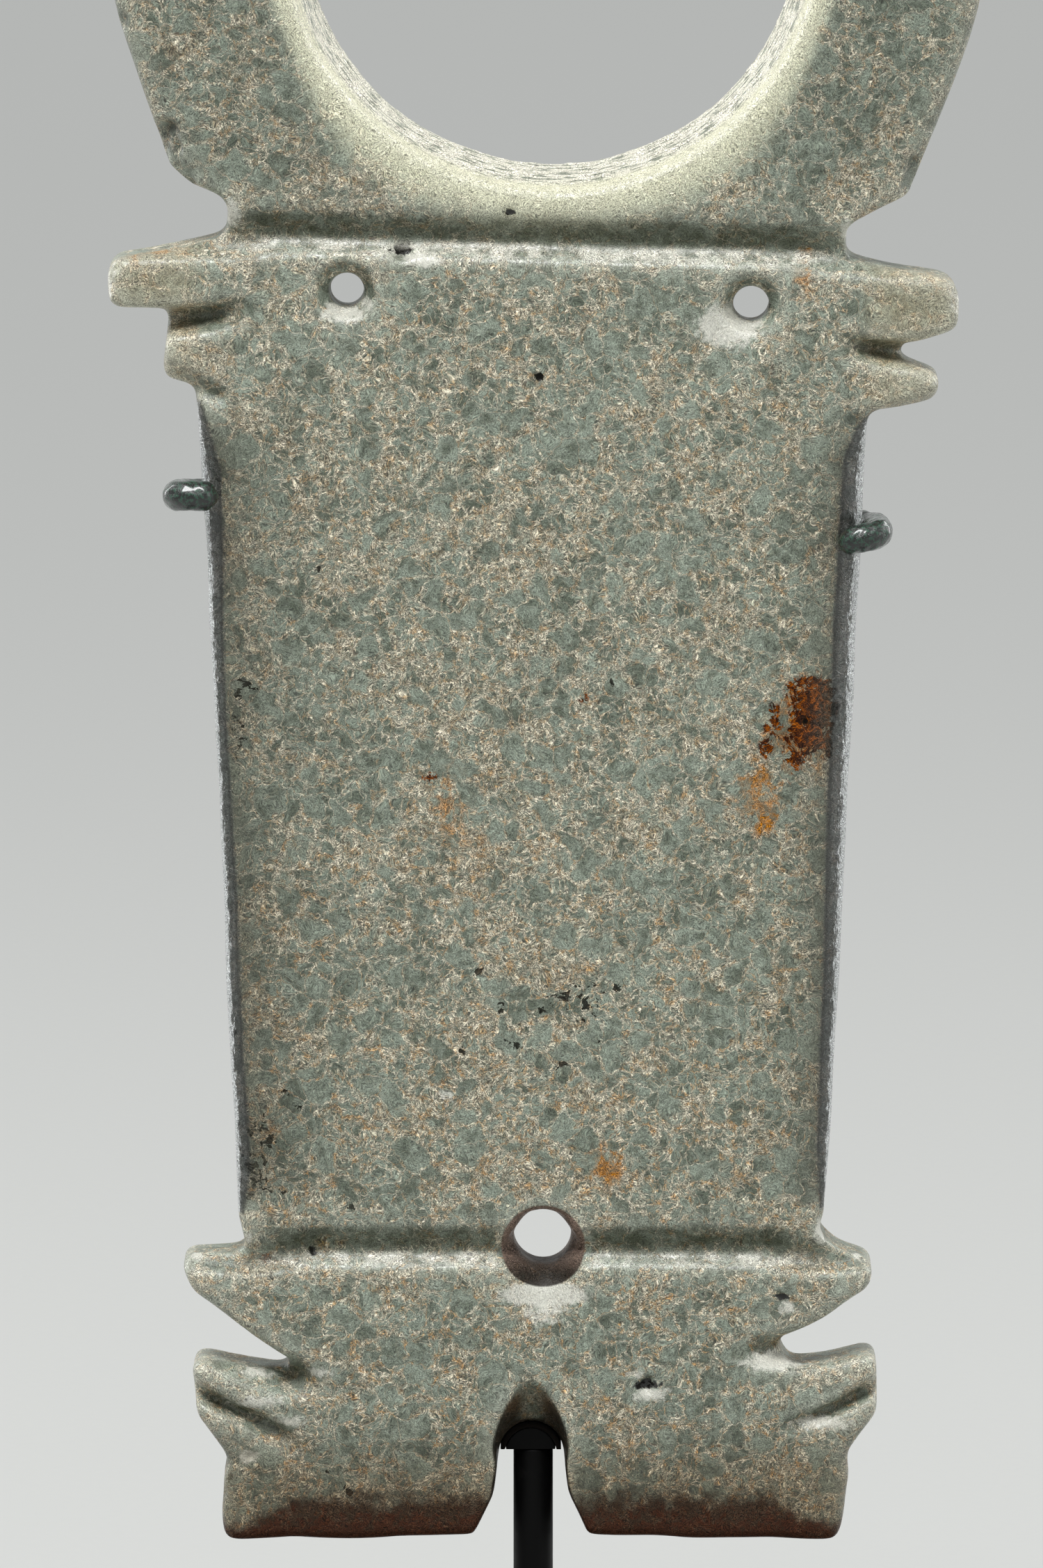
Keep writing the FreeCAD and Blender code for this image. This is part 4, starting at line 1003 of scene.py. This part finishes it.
# the polish is glossier on facets and rubbed lips, and threads stand a hair below it
jade_gloss = add(jade, "MapRange", (density, 0.0, 1.0, 0.36, 0.52), **soft)
for name, change in (("facet", -0.1), ("lip", -0.12), ("rubbed", -0.1)):
    part = add(jade, "Math", (kept_on_points[name], change), **times)
    jade_gloss = add(jade, "Math", (jade_gloss, part), **plus)
relief = add(jade, "Math", (grit, 0.5), **times)
for value, share in ((thread, -0.7), (swells["tangle"], 0.6)):
    part = add(jade, "Math", (value, share), **times)
    relief = add(jade, "Math", (relief, part), **plus)
jade_skin = add(jade, "Bump", {"Height": relief, "Strength": 0.8, "Distance": 0.05 * mm})
# rust, earth, stains, specks, the bore's wall and the painted shade of the grooves and the arch are dull, so
# they lie on the polish and take its shine
dull = add(jade, "Math", (rusted, earth_share), **larger)
for share in (root, stained, shares["arch"], sunk_share, in_bore):
    dull = add(jade, "Math", (dull, share), **larger)
shine = add(jade, "MapRange", (dull, 0.0, 1.0, 0.42, 0.06))
feed(jade, jade_shader, Base_Color=colour, Roughness=jade_gloss, Normal=jade_skin, Specular_IOR_Level=shine)
fit(plaque, "pendant", "jade_pendant", jade)

# The studio is a plain pale floor under pale air. A wide soft lamp hangs above the front, a fainter one stands
# on the right, and two narrow lamps behind draw the stone's edges.

floor_half_width = 12.0
below_felt = 0.05
backdrop_share = 0.6
paper_tooth_width = 1.25
lamp_aim_height = 100.0

floor_mesh = bpy.data.meshes.new("pale_floor")
corners = [(x * floor_half_width, y * floor_half_width, -below_felt * mm)
           for x, y in ((-1, -1), (1, -1), (1, 1), (-1, 1))]
floor_mesh.from_pydata(corners, [], [(0, 1, 2, 3)])
pale_floor = bpy.data.objects.new("pale_floor", floor_mesh)
bpy.context.scene.collection.objects.link(pale_floor)
paper, paper_shader = new_finish("pale_floor_paper", Roughness=0.9)
paper_tooth = add(paper, "TexNoise", {"Vector": in_mm(paper), "Scale": 1 / paper_tooth_width,
                                     "Detail": 3})
paper_colour = add(paper, "Mix", {0: paper_tooth, 6: "#c6c7c4", 7: "#cccdca"}, **mixed)
feed(paper, paper_shader, Base_Color=paper_colour)


def seen_by_eye(finish):
    """1 for the eye and for glossy and clear pieces, 0 for the light that falls on the object."""
    rays = add(finish, "LightPath", ())
    seen = rays
    for ray in ("Is Glossy Ray", "Is Transmission Ray"):
        seen = add(finish, "Math", (seen, rays.node.outputs[ray]), **larger)
    return seen


# the eye and glossy pieces see the pale backdrop, and the light on the object stays as the lamps make it
seen = add(paper, "Math", (seen_by_eye(paper), backdrop_share), **times)
glow = add(paper, "Emission", {"Color": "#d6d8d6", "Strength": 1.0})
paper_seen = add(paper, "MixShader", (seen, paper_shader.outputs[0], glow))
paper.node_tree.links.new(paper_seen, paper.node_tree.nodes["Material Output"].inputs["Surface"])
floor_mesh.materials.append(paper)

air = bpy.data.worlds.new("studio_air")
air.use_nodes = True
bpy.context.scene.world = air
soft_light = add(air, "Background", {"Color": "#e8ebee", "Strength": 0.15})
pale_air = add(air, "Background", {"Color": "#c6c8c6", "Strength": 1.0})
air_seen = add(air, "MixShader", (seen_by_eye(air), soft_light, pale_air))
air.node_tree.links.new(air_seen, air.node_tree.nodes["World Output"].inputs["Surface"])

# each lamp's place and size in metres, and its power in watts
stone_middle = Vector((0, front * mm, lamp_aim_height * mm))
lamps = [
    ("key", (-0.18, -0.50, 1.00), (0.46, 0.30), 11.6),
    ("fill", (0.95, -0.62, 0.36), (0.50, 0.60), 1.8),
    ("left_edge", (-0.50, 0.30, 0.34), (0.12, 0.60), 2.0),
    ("right_edge", (0.50, 0.30, 0.34), (0.12, 0.60), 2.0),
]
for name, where, size, power in lamps:
    light = bpy.data.lights.new(name, "AREA")
    light.shape = "RECTANGLE"
    light.size, light.size_y = size
    light.energy = power
    lamp = bpy.data.objects.new(name, light)
    lamp.location = where
    lamp.rotation_euler = (stone_middle - lamp.location).to_track_quat("-Z", "Y").to_euler()
    bpy.context.scene.collection.objects.link(lamp)

# The camera looks slightly down at the stone through a long lens, close enough that the ring's top and the
# mount's foot lie outside the frame.

camera_pitch = 8.4
camera_distance = 1.2
frame_height = 0.12594
aim_across, aim_height = -0.95, 101.68

aim = Vector((aim_across * mm, front * mm, aim_height * mm))
pitch = math.radians(camera_pitch)
view = bpy.data.cameras.new("view")
view.sensor_fit = "VERTICAL"
view.sensor_height = 36
view.lens = view.sensor_height * camera_distance / frame_height
camera = bpy.data.objects.new("view", view)
camera.location = aim + Vector((0, -camera_distance * math.cos(pitch), camera_distance * math.sin(pitch)))
camera.rotation_euler = (aim - camera.location).to_track_quat("-Z", "Y").to_euler()
bpy.context.scene.collection.objects.link(camera)
bpy.context.scene.camera = camera
bpy.context.scene.view_settings.view_transform = "Standard"
